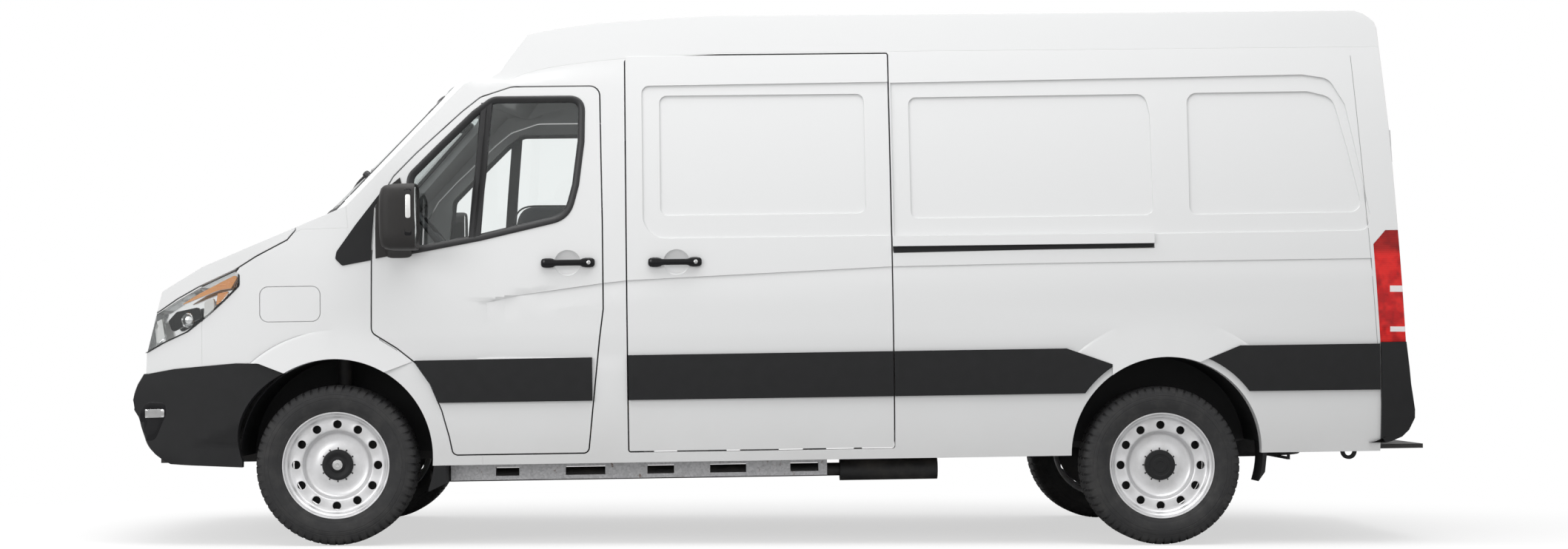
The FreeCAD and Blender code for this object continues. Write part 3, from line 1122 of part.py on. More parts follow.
# Silencer on two straps, with its pipe from the engine
silencer_x = slider_rear - 0.19 * mm.slider_width
silencer = Part.makeCylinder(mm.silencer_radius, 0.38 * mm.slider_width,
                             Vector(silencer_x, -mm.silencer_y, mm.sill_height - 1.2 * mm.silencer_radius), Vector(1, 0, 0))
pipe = Part.makeCylinder(mm.pipe_radius, silencer_x - 0.29 * mm.cab_length,
                         Vector(0.29 * mm.cab_length, -mm.silencer_y, mm.sill_height - 1.2 * mm.silencer_radius), Vector(1, 0, 0))
straps = [block(Vector(silencer_x + share * mm.slider_width, -mm.silencer_y - mm.tray_wall, mm.sill_height - mm.silencer_radius),
                Vector(silencer_x + share * mm.slider_width + mm.spring_width / 2, -frame_edge - mm.fit_gap,
                       frame_low + mm.member_width / 2))
          for share in (0.06, 0.3)]
piece("exhaust", silencer.multiFuse([pipe] + straps))
step = block(Vector(tail - mm.step_length / 1.6, -mm.step_half, mm.sill_height), Vector(tail + mm.step_length / 2.77, mm.step_half, mm.sill_height + mm.step_wall))
ring_z = mm.sill_height - 0.8 * mm.tow_ring_radius
tow_ring = drum(Vector(tail - 0.09 * mm.rear_reach, 0, ring_z), mm.tow_ring_radius,
                -mm.tow_ring_y - mm.tow_ring_wall / 2, -mm.tow_ring_y + mm.tow_ring_wall / 2)
tow_bore = drum(Vector(tail - 0.09 * mm.rear_reach, 0, ring_z), mm.tow_ring_bore, -far, 0)
piece("rear_step", step.fuse(tow_ring).cut(tow_bore))
spare = many_sided(mm.tyre_radius, 0, mm.tyre_width, RIM_SIDES)
spare = spare.makeChamfer(mm.tyre_shoulder / 2, [e for e in spare.Edges if e.BoundBox.ZLength < mm.fit_gap])
spare = spare.cut(many_sided(mm.rim_radius, -mm.rim_wall, mm.disc_edge_depth, BOWL_SIDES))
spare.translate(Vector(spare_x, 0, mm.spare_drop))
piece("spare_wheel", spare)
steering = many_sided(mm.wheel_rim_radius, -mm.wheel_rim_wall, mm.wheel_rim_wall, BOWL_SIDES)
steering = steering.cut(many_sided(mm.wheel_rim_radius - 2 * mm.wheel_rim_wall, -far, far, BOWL_SIDES))
hub = Part.makeCylinder(mm.column_radius, 4 * mm.wheel_rim_wall, Vector(0, 0, -2 * mm.wheel_rim_wall))
spokes = block(Vector(-mm.wheel_rim_radius + mm.wheel_rim_wall, -mm.wheel_rim_wall, -mm.wheel_rim_wall / 2),
               Vector(mm.wheel_rim_radius - mm.wheel_rim_wall, mm.wheel_rim_wall, mm.wheel_rim_wall / 2))
steering = steering.multiFuse([hub, spokes])
steering.Placement = steering_place
piece("steering_wheel", steering)

doc.recompute()

# The rake turns everything about the front axle, and the whole van is then centred along X.
stand = Placement(front_axle, Rotation(Vector(0, 1, 0), -mm.rake_angle)).multiply(Placement(-front_axle, Rotation()))
places = {("front", "left"): front_axle, ("front", "right"): front_axle,
          ("rear", "left"): rear_axle, ("rear", "right"): rear_axle}
for (end, name), bodies in wheels.items():
    side = -1 if name == "left" else 1
    centre = places[(end, name)] + Vector(0, side * track[end], 0)
    facing = Rotation(Vector(0, 1, 0), mm.rake_angle).multiply(Rotation(Vector(0, 0, 1), 0 if side < 0 else 180))
    for body in bodies:
        body.Placement = Placement(centre, facing.multiply(Rotation(Vector(1, 0, 0), -90)))
nodes = [item for item in doc.Objects if item.TypeId == "Part::Feature"]
nodes += [rim for tyre, rim in wheels.values()]
for item in nodes:
    item.Placement = stand.multiply(item.Placement)
low = min(item.Shape.BoundBox.XMin for item in nodes)
high = max(item.Shape.BoundBox.XMax for item in nodes)
shift = Placement(Vector(-(low + high) / 2, 0, 0), Rotation())
for item in nodes:
    item.Placement = shift.multiply(item.Placement)
doc.recompute()

for item in doc.Objects:
    if "Invalid" in item.State or "Error" in item.State:
        raise ValueError(f"{item.Label} did not build")
os.makedirs("parts", exist_ok=True)
for item in nodes:
    if item.Shape.isNull() or not item.Shape.isValid():
        raise ValueError(f"{item.Label} has no sound shape")
    item.Shape.exportStep(f"parts/{item.Label}.step")
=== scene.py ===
"""Looks of a white panel van: paint, glass, lamps, wheels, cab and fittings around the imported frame."""
import json
import math

import bmesh
import bpy
from mathutils import Matrix, Vector
from mathutils.bvhtree import BVHTree


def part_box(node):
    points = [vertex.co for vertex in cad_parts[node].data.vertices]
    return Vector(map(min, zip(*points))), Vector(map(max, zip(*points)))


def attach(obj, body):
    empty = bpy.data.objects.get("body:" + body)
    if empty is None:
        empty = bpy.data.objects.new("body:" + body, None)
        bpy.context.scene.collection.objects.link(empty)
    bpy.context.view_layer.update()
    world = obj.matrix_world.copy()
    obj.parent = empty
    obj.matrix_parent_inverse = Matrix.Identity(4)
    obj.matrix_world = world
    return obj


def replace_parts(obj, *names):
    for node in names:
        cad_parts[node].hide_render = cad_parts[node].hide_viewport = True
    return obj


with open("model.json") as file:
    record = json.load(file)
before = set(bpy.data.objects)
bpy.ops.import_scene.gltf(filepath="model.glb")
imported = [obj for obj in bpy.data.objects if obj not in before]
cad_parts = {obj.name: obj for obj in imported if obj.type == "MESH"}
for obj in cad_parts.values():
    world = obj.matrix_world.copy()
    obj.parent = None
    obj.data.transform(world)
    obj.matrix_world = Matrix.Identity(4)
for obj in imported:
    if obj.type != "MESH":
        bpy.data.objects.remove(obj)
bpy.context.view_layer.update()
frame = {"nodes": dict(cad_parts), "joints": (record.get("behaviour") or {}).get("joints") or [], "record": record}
scene = bpy.context.scene

# The body is described level, in millimetres from the ground under the front axle, X to the rear,
# and stands nose-down by the rake.
MM = 0.001
RAKE = math.radians(0.9)
HUB_HEIGHT = 353
FRONT_AXLE_X = -1.95165
LEFT, RIGHT = -1, 1
SIDES = {"left": LEFT, "right": RIGHT}
ALONG, UP, ACROSS = Vector((1, 0, 0)), Vector((0, 0, 1)), Vector((0, 1, 0))


def at(x, y, z):
    """The place in the scene of a point of the level body."""
    ahead, above = x * MM, (z - HUB_HEIGHT) * MM
    return Vector((ahead * math.cos(RAKE) - above * math.sin(RAKE) + FRONT_AXLE_X, y * MM,
                   ahead * math.sin(RAKE) + above * math.cos(RAKE) + HUB_HEIGHT * MM))


def level(point):
    """The level-body coordinates in millimetres of a place in the scene."""
    ahead, above = point.x - FRONT_AXLE_X, point.z - HUB_HEIGHT * MM
    return Vector(((ahead * math.cos(RAKE) + above * math.sin(RAKE)) / MM, point.y / MM,
                   (above * math.cos(RAKE) - ahead * math.sin(RAKE)) / MM + HUB_HEIGHT))


BODY_TURN = Matrix.Rotation(-RAKE, 3, "Y")


# Materials

class Value:
    """A socket of a material whose arithmetic adds Math nodes."""

    def __init__(self, finish, socket):
        self.finish = finish
        self.socket = socket

    def maths(self, operation, first, second):
        return self.finish.node("ShaderNodeMath", {"operation": operation}, {0: first, 1: second})

    def __add__(self, other):
        return self.maths("ADD", self, other)

    def __radd__(self, other):
        return self.maths("ADD", other, self)

    def __sub__(self, other):
        return self.maths("SUBTRACT", self, other)

    def __rsub__(self, other):
        return self.maths("SUBTRACT", other, self)

    def __mul__(self, other):
        return self.maths("MULTIPLY", self, other)

    def __rmul__(self, other):
        return self.maths("MULTIPLY", other, self)

    def __gt__(self, other):
        return self.maths("GREATER_THAN", self, other)

    def __lt__(self, other):
        return self.maths("LESS_THAN", self, other)


class Finish:
    """A material being made; node() adds any node and gives back its output."""

    def __init__(self, name):
        self.material = bpy.data.materials.new(name)
        self.material.use_nodes = True
        self.tree = self.material.node_tree
        self.tree.nodes.clear()
        self.place = self.node("ShaderNodeTexCoord", out="Object")

    def node(self, kind, settings=None, sockets=None, out=0):
        added = self.tree.nodes.new(kind)
        for key, setting in (settings or {}).items():
            if key == "stops":
                for element, position in zip(added.color_ramp.elements, setting):
                    element.position = position
            else:
                setattr(added, key, setting)
        for key, value in (sockets or {}).items():
            if isinstance(value, Value):
                self.tree.links.new(value.socket, added.inputs[key])
            else:
                added.inputs[key].default_value = value
        return Value(self, added.outputs[out]) if len(added.outputs) else None

    def noise(self, scale, detail=2.0, roughness=0.5, place=None):
        return self.node("ShaderNodeTexNoise", None, {"Vector": place or self.place, "Scale": scale,
                                                      "Detail": detail, "Roughness": roughness})

    def patches(self, low, high, scale, detail, roughness):
        """Noise drawn apart into black and white patches."""
        return self.node("ShaderNodeValToRGB", {"stops": (low, high)}, {"Fac": self.noise(scale, detail, roughness)})

    def wave(self, direction, scale, distortion=0.0, detail=2.0, place=None):
        return self.node("ShaderNodeTexWave", {"bands_direction": direction},
                         {"Vector": place or self.place, "Scale": scale, "Distortion": distortion, "Detail": detail})

    def fade(self, value, low, high, start=0.0, end=1.0):
        return self.node("ShaderNodeMapRange", {"interpolation_type": "SMOOTHSTEP"},
                         {"Value": value, "From Min": low, "From Max": high, "To Min": start, "To Max": end})

    def blend(self, factor, first, second):
        return self.node("ShaderNodeMix", {"data_type": "RGBA"}, {0: factor, 6: first, 7: second}, out=2)

    def axis(self, name, place=None):
        return self.node("ShaderNodeSeparateXYZ", None, {0: place or self.place}, out=name)

    def stretched(self, scale):
        return self.node("ShaderNodeMapping", None, {"Vector": self.place, "Scale": scale})

    def edges(self, radius):
        return self.node("ShaderNodeBevel", {"samples": 4}, {"Radius": radius}, out="Normal")

    def bump(self, height, distance, strength=1.0, normal=None):
        sockets = {"Height": height, "Distance": distance, "Strength": strength}
        if normal:
            sockets["Normal"] = normal
        return self.node("ShaderNodeBump", None, sockets)

    def surface(self, **sockets):
        named = {key.replace("_", " "): value for key, value in sockets.items()}
        return self.node("ShaderNodeBsdfPrincipled", None, named)

    def solid(self, **sockets):
        return self.done(self.surface(**sockets))

    def done(self, shader):
        self.node("ShaderNodeOutputMaterial", None, {"Surface": shader})
        return self.material


def grey(shade):
    return (shade, shade, shade, 1)


def body_paint():
    """White two-coat paint with a faint orange peel, darker in cloudy patches low down."""
    finish = Finish("body_paint")
    # Darkens the colour in noise patches below about 0.75 m, fading out above it.
    low_darkening = finish.fade(finish.axis("Z"), 0.75, 0.35, 0, 0.5) * finish.noise(3.5, 5)
    shade = finish.blend(low_darkening, (0.745, 0.75, 0.752, 1), (0.58, 0.575, 0.565, 1))
    peel = finish.noise(260, 2)
    normal = finish.bump(peel, 0.00002, 1, finish.edges(0.003))
    return finish.solid(Base_Color=shade, Roughness=0.3 + 0.06 * finish.noise(12, 3),
                        Normal=normal, Coat_Weight=0.6, Coat_Roughness=0.06)


def grained_plastic(name, shade, rough, grain=0.00012, scale=1100):
    """Moulded plastic with a leather-like grain."""
    finish = Finish(name)
    cells = finish.node("ShaderNodeTexVoronoi", {"feature": "SMOOTH_F1"},
                        {"Vector": finish.place, "Scale": scale})
    mottle = finish.noise(18, 4)
    colour = finish.blend(mottle, (*[s * 0.8 for s in shade], 1), (*[s * 1.25 for s in shade], 1))
    normal = finish.bump(cells, grain, 0.6, finish.edges(0.002))
    return finish.solid(Base_Color=colour, Roughness=rough + 0.12 * (mottle - 0.5), Normal=normal,
                        Specular_IOR_Level=0.22)


def tyre_rubber():
    """Tyre rubber, greyer where the road has dusted it."""
    finish = Finish("tyre_rubber")
    dust = finish.patches(0.45, 0.8, 14, 6, 0.6)
    colour = finish.blend(dust, (0.014, 0.014, 0.015, 1), (0.036, 0.035, 0.034, 1))
    normal = finish.bump(finish.noise(900, 2), 0.00015, 0.5, finish.edges(0.0015))
    return finish.solid(Base_Color=colour, Roughness=0.62 + 0.2 * finish.noise(30, 3),
                        Normal=normal)


def seal_rubber():
    """Smooth black sealing rubber with a soft shine."""
    finish = Finish("seal_rubber")
    low_darkening = finish.noise(60, 4)
    return finish.solid(Base_Color=finish.blend(low_darkening, (0.008, 0.008, 0.009, 1), (0.02, 0.02, 0.021, 1)),
                        Roughness=0.38 + 0.15 * low_darkening, Normal=finish.edges(0.002))


def wheel_silver():
    """Sprayed silver on pressed steel, dusty in patches."""
    finish = Finish("wheel_silver")
    flakes = finish.noise(2600, 1)
    clouds = finish.patches(0.4, 0.75, 16, 5, 0.6)
    colour = finish.blend(clouds * 0.5, (0.74, 0.74, 0.75, 1), (0.55, 0.545, 0.54, 1))
    normal = finish.bump(flakes, 0.00004, 0.4, finish.edges(0.0015))
    return finish.solid(Base_Color=colour, Metallic=0.6, Roughness=0.34 + 0.14 * clouds,
                        Normal=normal)


def chassis_black():
    """Chassis paint and cast parts under a coat of dry road dust."""
    finish = Finish("chassis_black")
    dust = finish.patches(0.45, 0.72, 7, 8, 0.65)
    colour = finish.blend(dust, (0.016, 0.016, 0.017, 1), (0.06, 0.055, 0.05, 1))
    normal = finish.bump(finish.noise(220, 4), 0.0004, 0.5, finish.edges(0.003))
    return finish.solid(Base_Color=colour, Roughness=0.55 + 0.3 * dust, Normal=normal)


def galvanised():
    """Zinc-coated rail with its spangle and a few rust specks."""
    finish = Finish("galvanised")
    spangle = finish.node("ShaderNodeTexVoronoi", None, {"Vector": finish.place, "Scale": 120}, out="Color")
    shade = finish.node("ShaderNodeRGBToBW", None, {0: spangle})
    rust = finish.patches(0.6, 0.7, 24, 9, 0.7)
    zinc = finish.blend(shade, (0.36, 0.36, 0.37, 1), (0.52, 0.52, 0.53, 1))
    colour = finish.blend(rust, zinc, (0.16, 0.085, 0.05, 1))
    return finish.solid(Base_Color=colour, Metallic=0.6 - 0.6 * rust, Roughness=0.42 + 0.3 * rust,
                        Normal=finish.bump(shade, 0.0002, 0.4, finish.edges(0.002)))


def engine_iron():
    """Rough cast iron."""
    finish = Finish("engine_iron")
    grain = finish.noise(160, 6)
    return finish.solid(Base_Color=finish.blend(grain, (0.06, 0.06, 0.062, 1), (0.15, 0.145, 0.14, 1)),
                        Metallic=0.4, Roughness=0.6, Normal=finish.bump(grain, 0.0006))


def window_glass(name, tint, shine):
    """Clear or tinted safety glass: see-through, with a reflection that grows at a glance."""
    finish = Finish(name)
    fresnel = finish.node("ShaderNodeFresnel", None, {"IOR": 1.5})
    smear = finish.noise(6, 5, 0.6)
    clear = finish.node("ShaderNodeBsdfTransparent", None, {"Color": tint})
    mirror = finish.surface(Base_Color=(0.95, 0.97, 0.97, 1), Metallic=1.0, Roughness=0.02)
    amount = fresnel * shine + 0.02 * smear
    return finish.done(finish.node("ShaderNodeMixShader", None, {0: amount, 1: clear, 2: mirror}))


def chrome(name, shade, rough):
    """Bright vacuum-coated or polished metal."""
    finish = Finish(name)
    cloud = finish.noise(40, 3)
    return finish.solid(Base_Color=finish.blend(cloud, grey(shade), grey(shade * 0.92)), Metallic=1.0,
                        Roughness=rough + 0.06 * cloud, Normal=finish.edges(0.001))


# Bands of a wave texture to a metre at a scale of 1
BANDS_A_METRE = 3.2


def ribbed_lens(name, low, high, rib=0.006):
    """Coloured lamp plastic with fine upright ribs moulded inside."""
    finish = Finish(name)
    ribs = finish.wave("Z", 1 / rib / BANDS_A_METRE)
    cloud = finish.noise(30, 3)
    return finish.solid(Base_Color=finish.blend(ribs * 0.6 + cloud * 0.4, low, high), Roughness=0.12,
                        Coat_Weight=1.0, Coat_Roughness=0.02,
                        Normal=finish.bump(ribs, 0.0006, 0.5, finish.edges(0.001)))


def woven_fabric(name, dark, light):
    """Flat-woven seat cloth, its threads read from crossed waves."""
    finish = Finish(name)
    threads = finish.wave("Y", 330, 0.6) * finish.wave("DIAGONAL", 330, 0.6)
    colour = finish.blend(threads * 0.6 + finish.noise(25, 4) * 0.4, dark, light)
    return finish.solid(Base_Color=colour, Roughness=0.92, Sheen_Weight=0.25,
                        Normal=finish.bump(threads, 0.0004, 0.7))


def floor_board():
    """Sealed plywood of the load floor."""
    finish = Finish("floor_board")
    grain = finish.wave("Y", 3, 6, 3, finish.stretched((0.6, 6, 6)))
    colour = finish.blend(grain, (0.20, 0.13, 0.08, 1), (0.33, 0.23, 0.14, 1))
    return finish.solid(Base_Color=colour, Roughness=0.5 + 0.2 * grain, Normal=finish.bump(grain, 0.0003))


def tail_lens():
    """Red lens plastic in cells, with a dark upper cell and two clear windows near the rear edge."""
    finish = Finish("tail_lens")
    height = finish.axis("Z")
    rear = finish.axis("X")
    cells = finish.node("ShaderNodeTexVoronoi", {"distance": "CHEBYCHEV"},
                        {"Vector": finish.stretched((1.4, 1, 1)), "Scale": 24})
    shade = finish.noise(14, 2)
    red = finish.blend(cells, (0.62, 0.004, 0.006, 1), (0.25, 0.0, 0.002, 1))
    glow = finish.fade(shade, 0.42, 0.62)
    red = finish.blend(glow * 0.7, red, (0.85, 0.02, 0.015, 1))
    windows = ((height > 1.130) * (height < 1.158) + (height > 0.952) * (height < 0.975)) * (rear > 2.735)
    colour = finish.blend(windows, red, (0.85, 0.8, 0.8, 1))
    dark = finish.fade(height, 1.29, 1.33)
    colour = finish.blend(dark * 0.6, colour, (0.16, 0.0, 0.0, 1))
    ribs = finish.wave("Z", 60)
    return finish.solid(Base_Color=colour, Roughness=0.12, Specular_IOR_Level=0.25, Coat_Weight=0.25,
                        Normal=finish.bump(ribs + cells, 0.0008, 0.6, finish.edges(0.003)))


def screen_frit():
    """Black ceramic border of the windscreen."""
    finish = Finish("screen_frit")
    return finish.solid(Base_Color=grey(0.006), Roughness=0.12 + 0.03 * finish.noise(9, 3))


paint = body_paint()
trim_black = grained_plastic("trim_black", (0.014, 0.0142, 0.015), 0.55)
mirror_black = grained_plastic("mirror_black", (0.026, 0.0245, 0.024), 0.5, 0.00016, 900)
gloss_black = grained_plastic("gloss_black", (0.008, 0.008, 0.009), 0.16, 0.00002, 1500)
cabin_grey = grained_plastic("cabin_grey", (0.075, 0.078, 0.082), 0.6)
seam_grey = grained_plastic("seam_grey", (0.3, 0.3, 0.3), 0.6)
rubber = tyre_rubber()
seal = seal_rubber()
silver = wheel_silver()
chassis = chassis_black()
zinc = galvanised()
iron = engine_iron()
side_glass = window_glass("side_glass", (0.965, 0.975, 0.973, 1), 0.55)
screen_tint = window_glass("screen_tint", (0.94, 0.965, 0.96, 1), 0.6)
lamp_glass = window_glass("lamp_glass", (0.97, 0.98, 0.98, 1), 0.9)
lamp_chrome = chrome("lamp_chrome", 0.86, 0.08)
bright_steel = chrome("bright_steel", 0.6, 0.22)
indicator_clear = ribbed_lens("indicator_clear", (0.75, 0.74, 0.72, 1), (0.9, 0.9, 0.89, 1), 0.004)
amber = ribbed_lens("amber_lens", (0.75, 0.22, 0.01, 1), (0.95, 0.42, 0.02, 1))
cloth = woven_fabric("seat_cloth", (0.02, 0.021, 0.024, 1), (0.07, 0.072, 0.078, 1))
boards = floor_board()
red_lens = tail_lens()
frit = screen_frit()


# Mesh making

class Form:
    """Closed parts gathered for one piece."""

    def __init__(self):
        self.points = []
        self.faces = []

    def part(self, points, faces):
        start = len(self.points)
        self.points += [Vector(point) for point in points]
        self.faces += [[start + i for i in face] for face in faces]
        return self

    def skin(self, rings, around=False, capped=True):
        """Faces between closed rings of equal count, capped at both ends unless the last joins the first."""
        count = len(rings[0])
        points = [point for ring in rings for point in ring]
        pairs = [(i, i + 1) for i in range(len(rings) - 1)]
        if around:
            pairs.append((len(rings) - 1, 0))
        faces = [[a * count + i, a * count + (i + 1) % count, b * count + (i + 1) % count, b * count + i]
                 for a, b in pairs for i in range(count)]
        if capped and not around:
            faces.append(list(range(count)))
            faces.append([(len(rings) - 1) * count + i for i in reversed(range(count))])
        return self.part(points, faces)

    def turned(self, profile, place, steps, closed=True):
        """A lathed ring: the profile of (radius, along) points about the place's own Z."""
        rings = [ring_of(place, radius, along, steps) for radius, along in profile]
        return self.skin(rings, around=closed, capped=not closed)

    def block(self, low, high):
        """A box between two corners."""
        x, y, z = zip(low, high)
        points = [Vector((x[i & 1], y[i >> 1 & 1], z[i >> 2])) for i in range(8)]
        return self.part(points, [[0, 2, 3, 1], [4, 5, 7, 6], [0, 1, 5, 4], [2, 6, 7, 3], [0, 4, 6, 2], [1, 3, 7, 5]])

    def take(self, mesh):
        """The faces of a finished mesh."""
        return self.part([vertex.co.copy() for vertex in mesh.vertices],
                         [list(face.vertices) for face in mesh.polygons])


def ring_of(place, radius, along, steps):
    """One ring about a place's own Z."""
    return [place @ Vector((radius * math.cos(2 * math.pi * i / steps), radius * math.sin(2 * math.pi * i / steps),
                            along)) for i in range(steps)]


def axis_place(centre, along):
    """A frame in millimetres at a centre, whose Z points along a direction."""
    z = Vector(along).normalized()
    x = UP.cross(z)
    x = x.normalized() if x.length > 0.01 else ALONG
    y = z.cross(x)
    return Matrix.Translation(centre) @ Matrix((x, y, z)).transposed().to_4x4() @ Matrix.Scale(MM, 4)


def rounded_line(corners, steps=5):
    """A closed outline of (x, z, radius) corners with each corner rounded to its radius."""
    line = []
    count = len(corners)
    for i, corner in enumerate(corners):
        spot = Vector(corner[:2])
        radius = corner[2] if len(corner) > 2 else 0
        before = Vector(corners[i - 1][:2]) - spot
        after = Vector(corners[(i + 1) % count][:2]) - spot
        if radius <= 0:
            line.append(spot)
            continue
        half = before.angle(after) / 2
        reach = min(radius / math.tan(half), before.length * 0.49, after.length * 0.49)
        start, end = spot + before.normalized() * reach, spot + after.normalized() * reach
        for k in range(steps + 1):
            t = k / steps
            line.append(start * (1 - t) ** 2 + spot * 2 * t * (1 - t) + end * t * t)
    return line


def smooth_line(points, steps):
    """An open smooth curve through the given points."""
    last = len(points) - 1
    line = []
    for i in range(last):
        a, b, c, d = (points[min(max(i + k, 0), last)] for k in (-1, 0, 1, 2))
        for k in range(steps):
            t = k / steps
            line.append(0.5 * ((2 * b) + (c - a) * t + (2 * a - 5 * b + 4 * c - d) * t * t
                               + (3 * b - a - 3 * c + d) * t ** 3))
    return line + [points[-1]]


def divided(line, count=0, longest=0):
    """A closed outline with points set along its edges: a count to each, or as many as a longest step gives."""
    spots = []
    for i, spot in enumerate(line):
        after = line[(i + 1) % len(line)]
        steps = count or max(1, int((after - spot).length / longest))
        spots += [spot.lerp(after, k / steps) for k in range(steps)]
    return spots


def grown(line, amount):
    """A closed flat outline moved outwards by an amount."""
    count = len(line)
    area = sum(line[i].x * line[(i + 1) % count].y - line[(i + 1) % count].x * line[i].y for i in range(count))
    turn = 1 if area > 0 else -1
    moved = []
    for i in range(count):
        along = (line[(i + 1) % count] - line[i - 1]).normalized()
        moved.append(line[i] + Vector((along.y, -along.x)) * amount * turn)
    return moved


def smooth(mesh, bend):
    """Shades a mesh smooth but for its edges sharper than a bend in degrees."""
    mesh.polygons.foreach_set("use_smooth", [True] * len(mesh.polygons))
    mesh.set_sharp_from_angle(angle=math.radians(bend))


def applied(item):
    """The mesh of an object with its modifiers applied, which are then cleared."""
    whole = bpy.data.meshes.new_from_object(item.evaluated_get(bpy.context.evaluated_depsgraph_get()))
    item.modifiers.clear()
    return whole


def put_together(name, mesh, finishes, body, bend, edge=0.0):
    """A finished piece from its mesh: smooth but for its sharp edges, riding on its body."""
    for finish in finishes:
        mesh.materials.append(finish)
    item = bpy.data.objects.new(name, mesh)
    scene.collection.objects.link(item)
    if edge:
        bevel = item.modifiers.new("edges", "BEVEL")
        bevel.width = edge
        bevel.segments = 2
        bevel.limit_method = "ANGLE"
        bevel.angle_limit = math.radians(bend)
        item.data = applied(item)
        item.data.name = name
    smooth(item.data, bend)
    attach(item, body)
    return item


def clean(mesh, reach, shortest, outwards=False):
    """Merges the double points of a mesh, drops its empty faces and, if asked, turns the rest outwards."""
    work = bmesh.new()
    work.from_mesh(mesh)
    bmesh.ops.remove_doubles(work, verts=work.verts, dist=reach)
    bmesh.ops.dissolve_degenerate(work, edges=work.edges, dist=shortest)
    if outwards:
        bmesh.ops.recalc_face_normals(work, faces=work.faces)
    work.to_mesh(mesh)
    work.free()


def made(name, form, finishes, body, bend, edge=0.0):
    """A piece from a form, its doubles merged and its faces turned outwards."""
    mesh = bpy.data.meshes.new(name)
    mesh.from_pydata(form.points, [], form.faces)
    clean(mesh, 0.00001, 0.000001, outwards=True)
    return put_together(name, mesh, finishes, body, bend, edge)


def merged(node):
    """A copy of a node's mesh with its loose triangles joined."""
    mesh = frame["nodes"][node].data.copy()
    mesh.materials.clear()
    clean(mesh, 0.00002, 0.00001)
    if mesh.attributes.get("custom_normal"):
        mesh.attributes.remove(mesh.attributes["custom_normal"])
    return mesh


def body_of(node):
    """The name of the body that carries a node."""
    return next(body for body, nodes in frame["record"]["behaviour"]["bodies"].items() if node in nodes)


def loose_parts(mesh):
    """The separate closed parts of a mesh, each as (points, faces, size), ordered by their middles."""
    work = bmesh.new()
    work.from_mesh(mesh)
    left_over = set(work.verts)
    parts = []
    for first in work.verts:
        if first not in left_over:
            continue
        left_over.discard(first)
        heap = [first]
        group = []
        while heap:
            vertex = heap.pop()
            group.append(vertex)
            for link in vertex.link_edges:
                other = link.other_vert(vertex)
                if other in left_over:
                    left_over.discard(other)
                    heap.append(other)
        index = {vertex: i for i, vertex in enumerate(group)}
        faces = {face for vertex in group for face in vertex.link_faces}
        points = [vertex.co.copy() for vertex in group]
        rows = sorted([index[vertex] for vertex in face.verts] for face in faces)
        low, high = corners_of(points)
        parts.append((points, rows, high - low, (low + high) / 2))
    work.free()
    parts.sort(key=lambda part: tuple(round(value, 4) for value in part[3]))
    return [part[:3] for part in parts]


def corners_of(points):
    """The low and high corners of the box round some points."""
    return [Vector([pick(point[k] for point in points) for k in range(3)]) for pick in (min, max)]


def kept_parts(name, node, finish, body, wanted):
    """A piece of the parts of a node whose size is wanted, standing for the node."""
    form = Form()
    for points, faces, size in loose_parts(merged(node)):
        if wanted(size):
            form.part(points, faces)
    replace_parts(made(name, form, [finish], body, 30), node)


# The outer skin, for what lies on it

def skin_tree(nodes):
    """A search tree over the outer faces of some nodes."""
    form = Form()
    for node in nodes:
        form.take(frame["nodes"][node].data)
    return BVHTree.FromPolygons(form.points, form.faces)


SIDE_SKIN = {side: skin_tree([f"body_side_{name}", f"front_door_{name}", f"wing_{name}", "sliding_doors"])
             for name, side in SIDES.items()}
# Where the search for a side's skin starts, in metres from the middle
SIDE_START = 1.05


def side_spot(side, x, z, lift):
    """The place on a side's outer skin at level-body x and z, lifted off it by some millimetres."""
    spot = at(x, 0, z)
    spot.y = side * SIDE_START
    for _ in range(3):
        spot.y = SIDE_SKIN[side].find_nearest(spot)[0].y
    spot.y += side * lift * MM
    return spot


def on_side(side, line, lift):
    """An outline laid on a side at a lift."""
    return [side_spot(side, spot.x, spot.y, lift) for spot in line]


# Distances from the middle, in millimetres, at which a search for an outer skin starts and falls back
OUTSIDE, NEAR_SKIN = 2000, 900


def outer_spot(tree, side, x, z, lift, lean=0):
    """A place on a tree's outer skin seen from the side, or along a ray that leans back, lifted along its normal."""
    start = at(x, side * OUTSIDE, z)
    hit, normal = tree.ray_cast(start, (at(x + lean, 0, z) - start).normalized())[:2]
    if hit is None:
        hit, normal = tree.find_nearest(at(x, side * NEAR_SKIN, z))[:2]
    if normal.y * side < 0:
        normal = -normal
    return hit + normal * lift * MM


def around_tree():
    """A node tree that sets copies of its mesh at equal turns about a centre."""
    tree = bpy.data.node_groups.new("copies_around", "GeometryNodeTree")
    sockets = {"Shape": "NodeSocketGeometry", "Copies": "NodeSocketInt", "Centre": "NodeSocketVector",
               "Turn": "NodeSocketVector", "Finish": "NodeSocketMaterial"}
    for name, kind in sockets.items():
        tree.interface.new_socket(name, in_out="INPUT", socket_type=kind)
    tree.interface.new_socket("Shape", in_out="OUTPUT", socket_type="NodeSocketGeometry")
    start, end, line, index, turn, copied, real, finish = (tree.nodes.new(kind) for kind in (
        "NodeGroupInput", "NodeGroupOutput", "GeometryNodeMeshLine", "GeometryNodeInputIndex", "ShaderNodeVectorMath",
        "GeometryNodeInstanceOnPoints", "GeometryNodeRealizeInstances", "GeometryNodeSetMaterial"))
    line.inputs["Offset"].default_value = (0, 0, 0)
    turn.operation = "SCALE"
    for source, out, target, into in (
            (start, "Copies", line, "Count"), (start, "Centre", line, "Start Location"),
            (line, "Mesh", copied, "Points"), (start, "Shape", copied, "Instance"), (start, "Turn", turn, 0),
            (index, 0, turn, "Scale"), (turn, 0, copied, "Rotation"), (copied, 0, real, 0),
            (real, 0, finish, "Geometry"), (start, "Finish", finish, "Material"), (finish, 0, end, "Shape")):
        tree.links.new(source.outputs[out], target.inputs[into])
    return tree


AROUND = around_tree()


